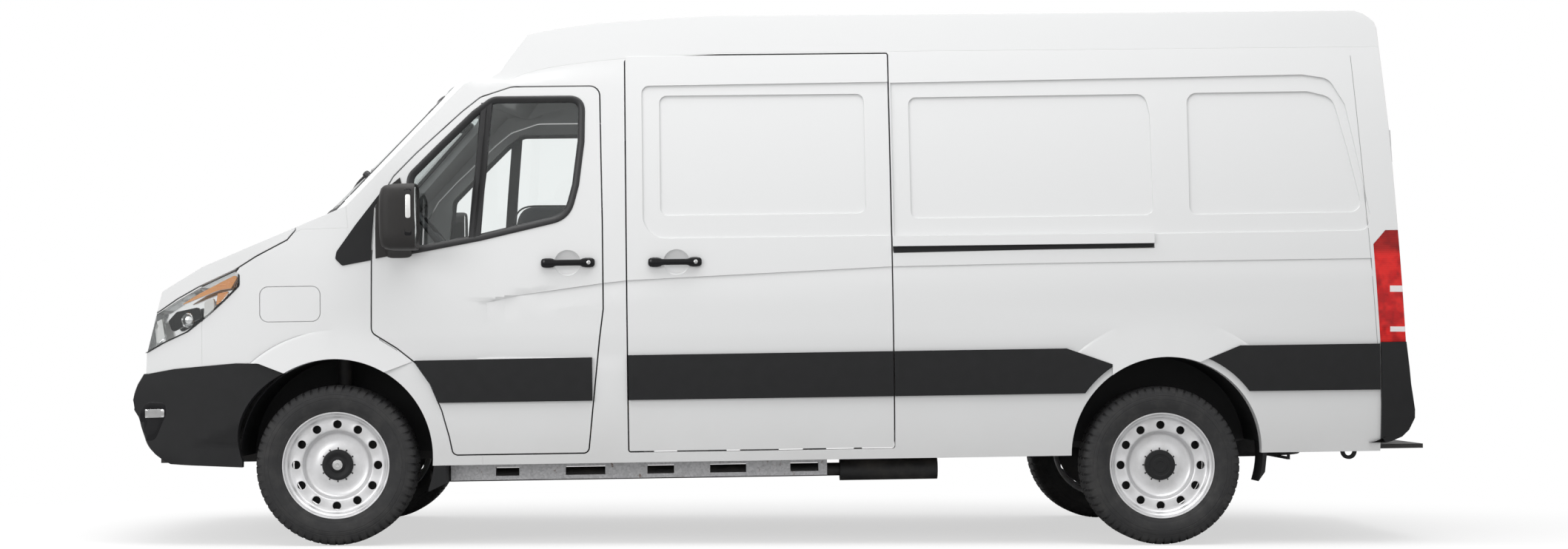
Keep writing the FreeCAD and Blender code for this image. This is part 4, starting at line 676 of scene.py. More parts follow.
def copies(form, count, centre, turn, finish):
    """The mesh of a form repeated about a centre by a turn."""
    mesh = bpy.data.meshes.new("copy")
    mesh.from_pydata(form.points, [], form.faces)
    item = bpy.data.objects.new("copy", mesh)
    scene.collection.objects.link(item)
    nodes = item.modifiers.new("copies", "NODES")
    nodes.node_group = AROUND
    values = {"Copies": count, "Centre": centre, "Turn": turn, "Finish": finish}
    for socket in AROUND.interface.items_tree:
        if socket.in_out == "INPUT" and socket.name in values:
            nodes[socket.identifier] = values[socket.name]
    whole = applied(item)
    bpy.data.objects.remove(item)
    return whole


# Wheels

WHEELS = {"front_left": (0, -855, 353), "front_right": (0, 855, 353),
          "rear_left": (3664.5, -858, 295), "rear_right": (3664.5, 858, 295)}
TYRE_STEPS = 120
TREAD_COUNT = 60
# Radii of the tread's bottom and top
TREAD_FOOT, TREAD_TOP = 342, 352.5
# Tyre section as (radius, half width) in millimetres from bead to crown
TYRE_SIDE = ((226, 80), (231, 90), (236, 96), (241, 99), (247, 101), (252, 103.5), (254, 103.6), (256, 104.8),
             (270, 109), (285, 111.4), (291, 111.8), (292.5, 110.9), (294, 110.9), (295.5, 111.9), (305, 111.2),
             (309, 110.4), (310.5, 109.2), (312, 109.2), (313.5, 109.6), (322, 106.6), (330, 102.6), (337, 96.5),
             (342, 88), (344.5, 78))
CROWN = ((346, 66), (346, 42), (346.5, 20), (346.5, 0))


def wheel_place(name):
    """A wheel's frame: its Z points outwards along the axle."""
    side = RIGHT if name.endswith("right") else LEFT
    return axis_place(at(*WHEELS[name]), (0, side, 0))


def tread_pitch():
    """One pitch of the tread on a tyre about the origin: two shoulder lugs, two ribs' blocks and the middle rib."""
    form = Form()
    step = 2 * math.pi / TREAD_COUNT

    def lug(sections, start, end, skew):
        rings = []
        for across, foot, top in sections:
            ring = []
            for turn, radius in ((start, foot), (end, foot), (end, top), (start, top)):
                angle = (turn + skew * across / 100) * step
                ring.append(Vector((radius * math.cos(angle), across, radius * math.sin(angle))) * MM)
            rings.append(ring)
        form.skin(rings)

    for sign in (-1, 1):
        lug([(sign * w, f, t) for w, f, t in ((54, TREAD_FOOT, TREAD_TOP), (72, 341, 352.3), (86, 337, 349.2),
                                               (96, 330, 343.5), (103.5, 320, 333), (107.5, 312, 321))],
            0.04, 0.76, 0.25 * sign)
        lug([(sign * w, TREAD_FOOT, TREAD_TOP) for w in (22, 34, 48)], 0.1, 0.9, 0.5 * sign)
        lug([(sign * w, 343, 350) for w in (59, 70)], 0.72, 1.06, 0.25 * sign)
    lug([(w, TREAD_FOOT, TREAD_TOP) for w in (-15, 0, 15)], 0.02, 0.92, 0.35)
    return form


def tyre_form(place):
    """A van tyre: sidewalls with their moulded rings, and a blocked tread."""
    inner = tuple((radius, -width) for radius, width in reversed(TYRE_SIDE + CROWN[:-1]))
    form = Form().turned(TYRE_SIDE + CROWN + inner + ((229, -60), (229, 60)), place, TYRE_STEPS)
    turn = Vector((0, 2 * math.pi / TREAD_COUNT, 0))
    return form.take(copies(tread_pitch(), TREAD_COUNT, place.translation, turn, rubber))


RIM_FRONT = ((231, 84), (235, 90), (236.5, 95), (234.5, 98.5), (230.5, 98), (227, 92), (224.5, 86), (219, 82),
             (214.5, 78), (211.5, 71), (209.5, 64), (206, 60), (200, 58))
RIM_MIDDLE = ((160, 58), (156, 57), (152.5, 54), (150, 49), (147, 42), (142, 34), (134, 28), (124, 25), (112, 24),
              (100, 24.5), (92, 26.5), (84, 29), (70, 30), (30, 30))
RIM_DISH_BACK = ((30, 16), (92, 17), (124, 17), (140, 24), (150, 38), (160, 49))
RIM_BACK = ((200, 49), (207, 47), (211, 40), (212, -60), (226, -84), (231, -93), (236, -96), (236, -90), (231, -80),
            (226, -60), (226, 60))
HOLES = 12
HOLE_RING, HOLE_RADIUS = 180, 18.5
RIM_STEPS = 96
# The band of the dish that holds the holes: its radii, its outer face and its inner face
BAND_INNER, BAND_OUTER, BAND_FACE, BAND_BACK = 160, 200, 58, 49


def pierced_face(form, place, level_at, lips):
    """The ring of the disc that holds the holes, each hole with a rolled lip and a short throat, or plain."""
    across, along = RIM_STEPS // HOLES, 4
    width = BAND_OUTER - BAND_INNER
    for hole in range(HOLES):
        start, end = (2 * math.pi * (hole + k) / HOLES for k in (-0.5, 0.5))
        edge = [(BAND_OUTER, start + (end - start) * i / across) for i in range(across)]
        edge += [(BAND_OUTER - width * i / along, end) for i in range(along)]
        edge += [(BAND_INNER, end - (end - start) * i / across) for i in range(across)]
        edge += [(BAND_INNER + width * i / along, start) for i in range(along)]
        middle = (start + end) / 2
        centre = Vector((HOLE_RING * math.cos(middle), HOLE_RING * math.sin(middle), 0))
        rim = [Vector((r * math.cos(a), r * math.sin(a), level_at)) for r, a in edge]
        ways = [(point - centre - Vector((0, 0, level_at))).normalized() for point in rim]
        rings = [rim]
        lip = ((HOLE_RADIUS + 6, 0), (HOLE_RADIUS + 3, 1.0), (HOLE_RADIUS + 0.8, 0.6), (HOLE_RADIUS, -1.2),
               (HOLE_RADIUS, -9)) if lips else ((HOLE_RADIUS, 0),)
        for radius, rise in lip:
            rings.append([centre + way * radius + Vector((0, 0, level_at + rise)) for way in ways])
        form.skin([[place @ point for point in ring] for ring in rings], capped=False)


def rim_form(place):
    """A pressed steel wheel with twelve holes round its dish."""
    form = Form()
    for profile in (RIM_FRONT, RIM_MIDDLE, RIM_DISH_BACK, RIM_BACK):
        form.skin([ring_of(place, r, w, RIM_STEPS) for r, w in profile], capped=False)
    pierced_face(form, place, BAND_FACE, lips=True)
    pierced_face(form, place, BAND_BACK, lips=False)
    for start, end in ((RIM_MIDDLE[-1], RIM_DISH_BACK[0]), (RIM_BACK[-1], RIM_FRONT[0])):
        form.skin([ring_of(place, r, w, RIM_STEPS) for r, w in (start, end)], capped=False)
    return form


def hub_form(name, place):
    """The dark hub cover: domed in front, flat with a raised middle at the rear."""
    if name.startswith("front"):
        cover = ((68, 30), (68, 44), (65, 49), (58, 51), (50, 50), (44, 46), (36, 45), (30, 48), (26, 51), (0.01, 51))
    else:
        cover = ((68, 30), (68, 46), (66, 50), (60, 52), (48, 52), (46, 50.5), (34, 50.5), (32, 52), (18, 52),
                 (16, 50.5), (0.01, 50.5))
    return Form().turned(cover, place, 48, closed=False)


CLIPS = 12


def clip_form(place):
    """The drum behind the disc, and small clips and bolt flats round the hub cover."""
    clip = Form()
    clip.block((66, -2.2, 29), (73, 2.2, 34))
    clip.block((72, -3.4, 29), (77, 3.4, 31.5))
    ring = Form().turned(((60, -8), (196, -8), (198, -6), (198, 2), (196, 4), (60, 4)), place, 48)
    for i in range(CLIPS):
        turn = Matrix.Rotation(2 * math.pi * i / CLIPS, 4, "Z")
        ring.part([place @ turn @ point for point in clip.points], clip.faces)
    return ring


def wheel(name):
    """All that turns with one road wheel."""
    body = f"wheel_{name}"
    place = wheel_place(name)
    tyre = made(f"road_tyre_{name}", tyre_form(place), [rubber], body, 28)
    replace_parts(tyre, f"tyre_{name}")
    rim = made(f"steel_wheel_{name}", rim_form(place), [silver], body, 32)
    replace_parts(rim, f"rim_{name}")
    made(f"hub_cover_{name}", hub_form(name, place), [trim_black], body, 30)
    made(f"hub_clips_{name}", clip_form(place), [chassis], body, 30, edge=0.0008)
    if name.startswith("front"):
        cap = Form().turned(((23, 49), (23, 54), (20.5, 56.5), (8, 57.5), (6.5, 56), (0.01, 55.5)), place, 32,
                            closed=False)
        made(f"hub_dome_{name}", cap, [bright_steel], body, 30)


for wheel_name in WHEELS:
    wheel(wheel_name)


# Painted panels and the plainer nodes

def eased(value, start, span):
    """A soft step from nought to one, as a value goes from a start over a span."""
    share = min(max((value - start) / span, 0), 1)
    return share * share * (3 - 2 * share)


ROOF_DROP = ((300, 0), (400, 22), (499, 40), (600, 62), (690, 96), (735, 114), (770, 100), (836, 82), (949, 58),
             (1061, 42), (1174, 29), (1300, 20), (1480, 9), (1700, 0))
NOSE_DROP = ((-940, 60), (-900, 50), (-850, 33), (-800, 20), (-740, 9), (-680, 3), (-620, 0))
# Radius of the roof's rear corner, its crown across the body and the lean of the tail
CORNER = 140
CREST, CROWN_DROP, BODY_HALF = 2394, 69, 986
TAIL, TAIL_KNEE, TAIL_LEAN = 4750, 1748, 0.07
# Where each change of shape sets in, as (start, span)
ROOF_FADE, NOSE_SIDE_FADE, NOSE_TOP_FADE = (2040, 130), (-840, 260), (930, 130)
BUMPER_FADE, REAR_FADE = (640, 220), (4665, 60)


def along_table(table, place):
    """The value of a table of (place, value) rows at a place, on a straight line between rows."""
    if place <= table[0][0]:
        return table[0][1]
    for (start, low), (end, high) in zip(table, table[1:]):
        if place <= end:
            return low + (high - low) * (place - start) / (end - start)
    return table[-1][1]


def bowed(point):
    """A level-body point with the roof's front and rear corners rounded."""
    drop = along_table(ROOF_DROP, point.x) * eased(point.z, *ROOF_FADE)
    point = Vector((point.x, point.y, point.z - drop))
    crown = CROWN_DROP * (point.y / BODY_HALF) ** 2
    tail = TAIL - (point.z - TAIL_KNEE) * TAIL_LEAN
    u, v = point.x - (tail - CORNER), point.z - (CREST - crown - CORNER)
    if u > 0 and v > 0 and u * u + v * v > CORNER * CORNER:
        shrink = CORNER / math.hypot(u, v)
        point = Vector((point.x - u * (1 - shrink), point.y, point.z - v * (1 - shrink)))
    return point


def nose_bow(point):
    """A level-body point of the hood or the front panel, the crown of the nose eased down at its front."""
    drop = along_table(NOSE_DROP, point.x) * eased(-abs(point.y), *NOSE_SIDE_FADE)
    drop *= eased(point.z, *NOSE_TOP_FADE)
    return Vector((point.x, point.y, point.z - drop))


BUMPER_NOSE = ((345, 700), (355, 790), (362, 830), (375, 880), (392, 924), (412, 950), (439, 974), (465, 986),
               (495, 995), (525, 1005), (553, 1012), (609, 1017), (646, 1013), (690, 1003), (722, 990), (768, 962))
BUMPER_FOOT = ((-980, 374), (-843, 372), (-702, 366), (-415, 350), (-300, 345))
# The front bumper's top and plain foot, and how far forward it may reach
BUMPER_TOP, BUMPER_BASE, BUMPER_LIMIT = 768, 239, -1003
# Its plain nose above and below a knee, as (height, reach, lean)
NOSE_KNEE, NOSE_ABOVE, NOSE_BELOW = 575, (699, 984, 0.277), (500, 1018, 0.384)


def bumper_bow(point):
    """A level-body point of the front bumper with its nose on a smooth curve and its foot rounded under."""
    height = point.z
    if height < BUMPER_TOP:
        foot = along_table(BUMPER_FOOT, point.x)
        height = BUMPER_TOP - (BUMPER_TOP - height) * (BUMPER_TOP - foot) / (BUMPER_TOP - BUMPER_BASE)
    if point.z > NOSE_KNEE:
        start, reach, lean = NOSE_ABOVE
        sharp = reach - (point.z - start) * lean
    else:
        start, reach, lean = NOSE_BELOW
        sharp = reach - max(start - point.z, 0) * lean
    back = (sharp - along_table(BUMPER_NOSE, height)) * eased(-point.x, *BUMPER_FADE)
    return Vector((max(point.x + back, BUMPER_LIMIT), point.y, height))


def cut_up(mesh, planes):
    """The mesh divided along planes of the level body, given as (axis, place) in millimetres."""
    work = bmesh.new()
    work.from_mesh(mesh)
    for axis, place in planes:
        normal = BODY_TURN @ (ALONG, ACROSS, UP)[axis]
        spot = at(*[place if k == axis else 0 for k in range(3)])
        bmesh.ops.bisect_plane(work, geom=work.verts[:] + work.edges[:] + work.faces[:], dist=0.00001,
                               plane_co=spot, plane_no=normal)
    work.to_mesh(mesh)
    work.free()


def reshape(mesh, planes, bow):
    """The mesh divided and then moved, point by point, on the level body."""
    cut_up(mesh, planes)
    for vertex in mesh.vertices:
        vertex.co = at(*bow(level(vertex.co)))


ROOF_CUTS = [(0, x) for x in list(range(330, 1720, 60)) + [4600, 4640, 4670, 4695, 4715]] + \
            [(2, z) for z in (2040, 2100, 2160, 2230, 2254, 2290, 2320, 2345, 2365, 2385)]
NOSE_CUTS = [(0, x) for x in range(-900, -600, 40)] + [(1, y) for y in range(-690, 700, 115)]
BUMPER_CUTS = [(2, z) for z in range(260, 770, 28)] + \
              [(0, x) for x in (-980, -940, -900, -870, -840, -800, -700, -640)]


# The swage's front end and foot, the span it rises over, its depth and the door's face
SWAGE_START, SWAGE_FOOT, SWAGE_RISE, SWAGE_DEPTH, DOOR_FACE = 671, 815, 420, 8.4, 981
# Height of the swage's upper edge at its front end, and its slope
SWAGE_LINE, SWAGE_SLOPE = 1067, 0.2


def swage_fade(point):
    """A level-body point of a front door, the swage rising slowly from its front end."""
    line = SWAGE_LINE + SWAGE_SLOPE * (point.x - SWAGE_START)
    along = -1 < point.x - SWAGE_START < SWAGE_RISE
    if along and SWAGE_FOOT < point.z < line and abs(point.y) > DOOR_FACE:
        sunk = SWAGE_DEPTH * (1 - eased(point.x, SWAGE_START, SWAGE_RISE))
        point = Vector((point.x, point.y - math.copysign(sunk, point.y), point.z))
    return point


DOOR_CUTS = [(0, x) for x in range(711, 1100, 40)] + [(2, SWAGE_FOOT)]


def painted(node):
    """A smooth copy of a node in body paint, standing for the node."""
    mesh = merged(node)
    if node in ("roof", "body_side_left", "body_side_right", "front_door_left", "front_door_right"):
        reshape(mesh, ROOF_CUTS, bowed)
    if node.startswith("front_door"):
        reshape(mesh, DOOR_CUTS, swage_fade)
    if node in ("hood", "front_panel"):
        reshape(mesh, NOSE_CUTS, nose_bow)
    item = put_together(f"skin_{node}", mesh, [paint], body_of(node), 28)
    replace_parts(item, node)
    return item


for panel in ("body_side_left", "body_side_right", "roof", "wing_left", "wing_right", "front_panel", "hood",
              "rear_door_left", "rear_door_right", "filler_flap", "slide_rails"):
    painted(panel)


# Half the width of the black scuttle, whose ends outside it are in body paint
SCUTTLE_HALF = 835


def cowl():
    """The black scuttle, its ends in body paint as on the wings."""
    mesh = merged("cowl")
    cut_up(mesh, [(1, -SCUTTLE_HALF), (1, SCUTTLE_HALF), (2, 1420)])
    item = put_together("scuttle", mesh, [trim_black, paint], "body", 28)
    for face in item.data.polygons:
        face.material_index = int(abs(level(face.center).y) > SCUTTLE_HALF)
    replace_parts(item, "cowl")


REAR_SET_BACK = ((380, 140), (388, 105), (408, 56), (438, 24), (491, -4), (528, -6), (643, 6), (720, 9), (832, 15))


def rear_bow(point):
    """A level-body point of the rear bumper, its foot rounded under."""
    back = along_table(REAR_SET_BACK, point.z) * eased(point.x, *REAR_FADE)
    return Vector((point.x - back, point.y, point.z))


REAR_CUTS = [(2, z) for z in (388, 398, 408, 423, 438, 465, 491, 528, 585, 643, 720)] + \
            [(0, x) for x in (4665, 4700, 4725)]


def reshaped(node, name, finish, bend, cuts, bow, reach=0.0):
    """A copy of a node cut up and bowed, its points within a reach merged, standing for the node."""
    mesh = merged(node)
    reshape(mesh, cuts, bow)
    if reach:
        clean(mesh, reach, reach / 2)
    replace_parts(put_together(name, mesh, [finish], "body", bend), node)


def rear_seams():
    """The seam before the rear corner panel on each side."""
    form = Form()
    for side in SIDES.values():
        rows = [Vector((4567, 2130)).lerp(Vector((4656, 440)), k / 30) for k in range(31)]
        form.skin([[side_spot(side, spot.x + shift, spot.y, lift) for spot in rows + rows[::-1][1:-1]]
                   for shift, lift in ((0, -1), (0, 0.35), (2.2, 0.35), (2.2, -1))], capped=False)
    made("rear_seams", form, [seam_grey], "body", 30)


def fog_lamps():
    """The hollow at each front corner of the bumper with its thin lamp."""
    shell = bpy.data.objects["nose_bumper"].data
    tree = BVHTree.FromPolygons([vertex.co for vertex in shell.vertices], [list(f.vertices) for f in shell.polygons])
    hollow, lamp = Form(), Form()
    for side in SIDES.values():
        for form, corners, rings in (
                (hollow, ((-890, 480, 20), (-895, 600, 40), (-860, 646, 40), (-780, 640, 30), (-778, 590, 40),
                          (-830, 470, 50)), (-5, 0.8, 1.2)),
                (lamp, ((-872, 574, 4), (-872, 612, 4), (-785, 612, 8), (-785, 576, 8)), (-3, 2.2, 3))):
            dense = divided(rounded_line(corners, 5), 3)
            middle = sum(dense, Vector((0, 0))) / len(dense)
            form.skin([[outer_spot(tree, side, *middle.lerp(spot, share), lift, 60) for spot in dense]
                       for lift, share in zip(rings + rings[-1:] * 3, (1, 1, 0.97, 0.7, 0.4, 0.1))])
    made("fog_hollows", hollow, [gloss_black], "body", 40)
    made("fog_lamps", lamp, [lamp_chrome], "body", 40)


def rail_slots():
    """The dark slot under each slide rail."""
    form = Form()
    for side in SIDES.values():
        line = rounded_line(((2476, 1287, 2), (3640, 1287, 2), (3640, 1271, 2), (2476, 1259, 2)), 3)
        form.skin([on_side(side, divided(line, 24), lift) for lift in (-3, 1.2)])
    made("rail_slots", form, [trim_black], "body", 30)


cowl()
reshaped("front_bumper", "nose_bumper", trim_black, 40, BUMPER_CUTS, bumper_bow, 0.0002)
reshaped("grille", "nose_grille", gloss_black, 28, NOSE_CUTS, nose_bow)
fog_lamps()
rail_slots()
reshaped("rear_bumper", "tail_bumper", trim_black, 40, REAR_CUTS, rear_bow)
rear_seams()

PLAIN = {"sail_panels": trim_black, "mud_flaps": trim_black, "wheel_houses": trim_black,
         "frame": chassis, "front_suspension": chassis, "knuckle_left": chassis, "knuckle_right": chassis,
         "rear_axle": chassis, "leaf_springs": chassis, "exhaust": chassis, "spare_wheel": rubber,
         "rear_step": chassis, "sill_rails": zinc, "engine": iron, "firewall": cabin_grey, "dashboard": cabin_grey,
         "seat_bases": cabin_grey, "floor": boards, "filler_cap": trim_black,
         "door_glass_left": side_glass, "door_glass_right": side_glass, "windscreen": screen_tint}
for node, finish in PLAIN.items():
    mesh = frame["nodes"][node].data
    mesh.materials.clear()
    mesh.materials.append(finish)


# Front doors: window seal, divider, sail, mirror and handle

CAB = 1290
DOORS = {"left": "front_door_left", "right": "front_door_right"}


def cab_line(shares):
    """A smooth-cornered outline in millimetres from shares of the cab's length and the roof's height."""
    return rounded_line([(CAB * x, CREST * z, CAB * sum(r)) for x, z, *r in shares], 7)


WINDOW = cab_line(((0.233, 0.537, 0.02), (0.262, 0.681, 0.05), (0.364, 0.736), (0.481, 0.797, 0.06),
                   (0.545, 0.823, 0.06), (0.853, 0.823, 0.045), (0.85, 0.742), (0.83, 0.66),
                   (0.8, 0.6, 0.09), (0.498, 0.563)))


def plate_on_side(form, side, line, high, low, soft):
    """A plate over an outline on the side, between two lifts, its outer edge eased."""
    form.skin([on_side(side, line, low), on_side(side, line, high - soft), on_side(side, grown(line, -soft), high)])


def oval(centre, across, up, half_across, half_up, power, count):
    """A closed ring between an ellipse and a rectangle."""
    ring = []
    for i in range(count):
        angle = 2 * math.pi * i / count
        c, s = math.cos(angle), math.sin(angle)
        ring.append(centre + across * (half_across * math.copysign(abs(c) ** (2 / power), c))
                    + up * (half_up * math.copysign(abs(s) ** (2 / power), s)))
    return ring


SEAL_SECTION = ((13, -1), (13, 2), (11, 4.5), (6, 6), (0, 6), (-6, 4), (-12, 0), (-17, -4), (-19, -9), (-19, -12),
                (-4, -14), (-3, -3))


def window_seal(name, side):
    """The rubber round the door window, its section given as (outward shift, lift) points."""
    form = Form().skin([on_side(side, grown(WINDOW, shift), lift) for shift, lift in SEAL_SECTION], around=True)
    made(f"window_seal_{name}", form, [seal], DOORS[name], 40)


def window_divider(name, side):
    """The upright bar between the quarter light and the main window, with its raised middle."""
    form = Form()
    for corners, high, low, soft in ((((649, 1955), (703, 1966), (647, 1352), (593, 1345)), 1.5, -15, 4),
                                     (((673, 1955), (679, 1957), (623, 1352), (617, 1350)), 3.2, 0.5, 1)):
        plate_on_side(form, side, divided([Vector(spot) for spot in corners], 6), high, low, soft)
    made(f"window_divider_{name}", form, [seal], DOORS[name], 40)


def sail_plate(name, side):
    """The black corner panel on the door's front edge that carries the mirror."""
    line = [Vector(spot) for spot in ((186, 1263), (184, 1400), (186, 1490), (204, 1550), (250, 1588), (292, 1622),
                                      (301, 1590), (300, 1288), (285, 1280))]
    form = Form()
    plate_on_side(form, side, divided(line, 5), 6.5, -4, 2)
    made(f"sail_{name}", form, [mirror_black], DOORS[name], 40)


# The mirror's outer face and the middle, half height, half depth and squareness of its head
MIRROR_FACE, MIRROR_MIDDLE, MIRROR_HALF, MIRROR_DEPTH, MIRROR_POWER = 1108.8, 1437, 145, 102.3, 5
# Rings of its head as (x, y, z, half depth, half height, squareness)
MIRROR_HEAD = ((225, 1107, 1436, 50, 92, 3), (228, 1108, 1436, 68, 112, 3.4), (236, 1108.6, 1436, 84, 128, 4),
               (250, MIRROR_FACE, 1436, 94, 138, 5), (275, MIRROR_FACE, 1436, 100, 143, 5),
               (320, MIRROR_FACE, 1437, 102, 145, 5), (372, MIRROR_FACE, 1437, 102.3, 145, 5),
               (383, MIRROR_FACE, 1437, 101, 143.5, 5), (385, MIRROR_FACE, 1437, 98, 140.5, 5),
               (384, MIRROR_FACE, 1437, 94, 136, 5), (374, MIRROR_FACE, 1437, 92, 134, 5))
MIRROR_GLASS = ((374.5, MIRROR_FACE, 1437, 91, 133, 5), (378, MIRROR_FACE, 1437, 91, 133, 5),
                (379, MIRROR_FACE, 1437, 89, 131, 5))


def mirror_patch(side, x_low, x_high, z_low, z_high, lift, sink):
    """A rounded strip that follows the mirror's outer side, between a sink and a lift."""
    rings = []
    for out, inset in ((sink, 0), (lift - 0.8, 0), (lift, 1.2)):
        corners = rounded_line([(x_low + inset, z_low + inset, 9), (x_high - inset, z_low + inset, 9),
                                (x_high - inset, z_high - inset, 9), (x_low + inset, z_high - inset, 9)], 4)
        rings.append([])
        for spot in corners:
            share = abs(spot.y - MIRROR_MIDDLE) / MIRROR_HALF
            across = MIRROR_FACE + out + MIRROR_DEPTH * (1 - share ** MIRROR_POWER) ** (1 / MIRROR_POWER)
            rings[-1].append(at(spot.x, side * across, spot.y))
    return Form().skin(rings)


def door_mirror(name, side):
    """A deep mirror head on its foot, with a lamp strip on the outer side and the glass behind."""
    body = DOORS[name]
    x_way, y_way, z_way = BODY_TURN @ Vector((MM, 0, 0)), Vector((0, side * MM, 0)), BODY_TURN @ Vector((0, 0, MM))

    def head(rings):
        return Form().skin([oval(at(x, side * y, z), y_way, z_way, *shape, 40) for x, y, z, *shape in rings])

    foot = Form().skin([oval(at(x, side * y, z), x_way, z_way, half_x, half_z, 4, 32)
                        for y, x, z, half_x, half_z in ((955, 285, 1300, 66, 42), (975, 288, 1302, 60, 40),
                                                        (1000, 292, 1312, 55, 36), (1030, 298, 1326, 52, 34),
                                                        (1070, 300, 1345, 50, 34))])
    shell = head(MIRROR_HEAD).part(foot.points, foot.faces)
    made(f"mirror_{name}", shell, [mirror_black], body, 38)
    made(f"mirror_glass_{name}", head(MIRROR_GLASS), [lamp_chrome], body, 38)
    bed = mirror_patch(side, 342, 372, 1352, 1556, 0.8, -9)
    made(f"mirror_lamp_bed_{name}", bed, [gloss_black], body, 38)
    lens = mirror_patch(side, 346, 368, 1428, 1530, 1.8, -4)
    made(f"mirror_lamp_{name}", lens, [indicator_clear], body, 38)


# A handle's half as (share of its half length, low, high, half width), from its middle to its end
HANDLE_HALF = ((0.4, 13, 29, 13.5), (0.48, 6, 28, 14.5), (0.55, -4, 26, 19), (0.66, -4, 25, 21.5),
               (0.82, -4, 24, 21.5), (0.93, -3, 21, 19), (0.985, 0, 15, 13), (1, 2, 8, 6))
HANDLE_LINE = [(-share, *rest) for share, *rest in HANDLE_HALF[::-1]] + [(0, 15, 29.5, 13.5), *HANDLE_HALF]
HANDLE_REACH = 119


def pull_handle(x, z, side, body, name):
    """A pull handle: two rounded ends on the panel and a bar between them over the dish."""
    up, out = BODY_TURN @ Vector((0, 0, MM)), Vector((0, side * MM, 0))
    form = Form().skin([oval(side_spot(side, x + share * HANDLE_REACH, z, (low + high) / 2), out, up,
                             (high - low) / 2, half, 3.2, 28) for share, low, high, half in HANDLE_LINE])
    made(f"pull_{name}", form, [gloss_black], body, 50)
    place = axis_place(side_spot(side, x + 92, z, 24), (0, side, 0))
    lock = Form().turned(((9, -2), (9, 1.2), (8, 2), (0.01, 2)), place, 24, closed=False)
    made(f"lock_{name}", lock, [bright_steel], body, 40)


# Half width and half depth in metres of the ball that presses the dish
DISH_HALF, DISH_DEPTH = 0.058, 0.017


def dished(node, spots):
    """A painted panel with a shallow round dish pressed in behind each of its handles."""
    item = painted(node)
    for side, x, z in spots:
        bpy.ops.mesh.primitive_uv_sphere_add(segments=64, ring_count=32, radius=1)
        ball = bpy.context.object
        shape = Matrix.Diagonal((DISH_HALF, DISH_DEPTH, DISH_HALF, 1))
        ball.matrix_world = Matrix.Translation(side_spot(side, x, z, 0)) @ shape
        cut = item.modifiers.new("dish", "BOOLEAN")
        cut.operation = "DIFFERENCE"
        cut.solver = "EXACT"
        cut.object = ball
        bpy.context.view_layer.update()
        item.data = applied(item)
        bpy.data.objects.remove(ball)
    smooth(item.data, 28)


for door_side, way in SIDES.items():
    window_seal(door_side, way)
    window_divider(door_side, way)
    sail_plate(door_side, way)
    door_mirror(door_side, way)
    pull_handle(1032, 1233, way, DOORS[door_side], f"front_{door_side}")
    pull_handle(1505, 1230.5, way, "body", f"slider_{door_side}")
    kept_parts(f"door_strip_{door_side}", f"door_trim_{door_side}", trim_black, DOORS[door_side],
               lambda size: size.x > 0.5 and size.z < 0.35)
    dished(DOORS[door_side], [(way, 1030, 1233)])
dished("sliding_doors", [(way, 1512, 1230.5) for way in SIDES.values()])


# The fixed rub strips, without the plain handles of the node
kept_parts("side_strips", "side_trim", trim_black, "body", lambda size: size.x > 0.4)


# Lamps

LAMP_MIDDLE = Vector((-1.75, 0, 0.72))
BOWL_DEPTH = 0.012


def lamp_walls(points, faces):
    """The faces of a wall-like part sorted into its outer skin, its inner skin and its edges."""
    outer, inner, edges = [], [], []
    for face in faces:
        spots = [points[i] for i in face]
        middle = sum(spots, Vector()) / len(spots)
        normal = (spots[1] - spots[0]).cross(spots[2] - spots[0])
        outwards = (middle - LAMP_MIDDLE).normalized()
        share = normal.normalized().dot(outwards) if normal.length > 0 else 0
        (outer if share > 0.4 else inner if share < -0.4 else edges).append(face)
    return outer, inner, edges


def headlamps():
    """Both headlamps: clear covers over bright bowls in dark frames."""
    covers, bowls, frames = Form(), Form(), Form()
    for points, faces, _ in loose_parts(merged("headlamps")):
        outer, inner, edges = lamp_walls(points, faces)
        covers.part(points, outer)
        bowls.part([point + (point - LAMP_MIDDLE).normalized() * BOWL_DEPTH for point in points], inner)
        frames.part(points, edges)
    cover = made("headlamp_covers", covers, [lamp_glass], "body", 40)
    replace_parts(cover, "headlamps")
    made("headlamp_bowls", bowls, [lamp_chrome], "body", 40)
    made("headlamp_frames", frames, [trim_black], "body", 40)


LAMP_SKIN = skin_tree(["headlamps"])


def lamp_patch(form, side, corners, high, low):
    """A block under the cover, its outline given on the side view and both faces following the skin."""
    dense = divided(rounded_line(corners, 6), longest=25)
    form.skin([[outer_spot(LAMP_SKIN, side, spot.x, spot.y, lift) for spot in dense] for lift in (low, high)])


# What shows through the headlamps' covers, as (name, finish, slot, patches of (corners, high, low))
LAMP_INSIDES = (
    ("headlamp_amber", amber, "lamp_lens", (
        (((-690, 1062, 4), (-596, 1118, 4), (-500, 1166, 4), (-434, 1198, 10), (-424, 1188, 10), (-452, 1140, 4),
          (-505, 1133, 4), (-600, 1098, 4)), -5, -24),
        (((-512, 1118, 4), (-462, 1128, 4), (-488, 1092, 4), (-520, 1064, 4)), -6, -24))),
    ("headlamp_dark", gloss_black, "black_plastic", (
        (((-720, 950, 14), (-650, 985, 10), (-590, 1012, 12), (-600, 1060, 14), (-700, 1040, 14), (-738, 1000, 12)),
         -14, -30),)),
    ("headlamp_bright", indicator_clear, "silver_paint", (
        (((-578, 1000, 10), (-530, 1046, 10), (-530, 1100, 10), (-572, 1082, 10)), -9, -28),
        (((-790, 900, 6), (-752, 928, 6), (-765, 1010, 6), (-800, 1000, 6)), -9, -28))))
DOME = ((34, -8), (34, 2), (31, 5), (29, 3), (27, 5), (20, 9), (10, 11.5), (0.01, 12.5))


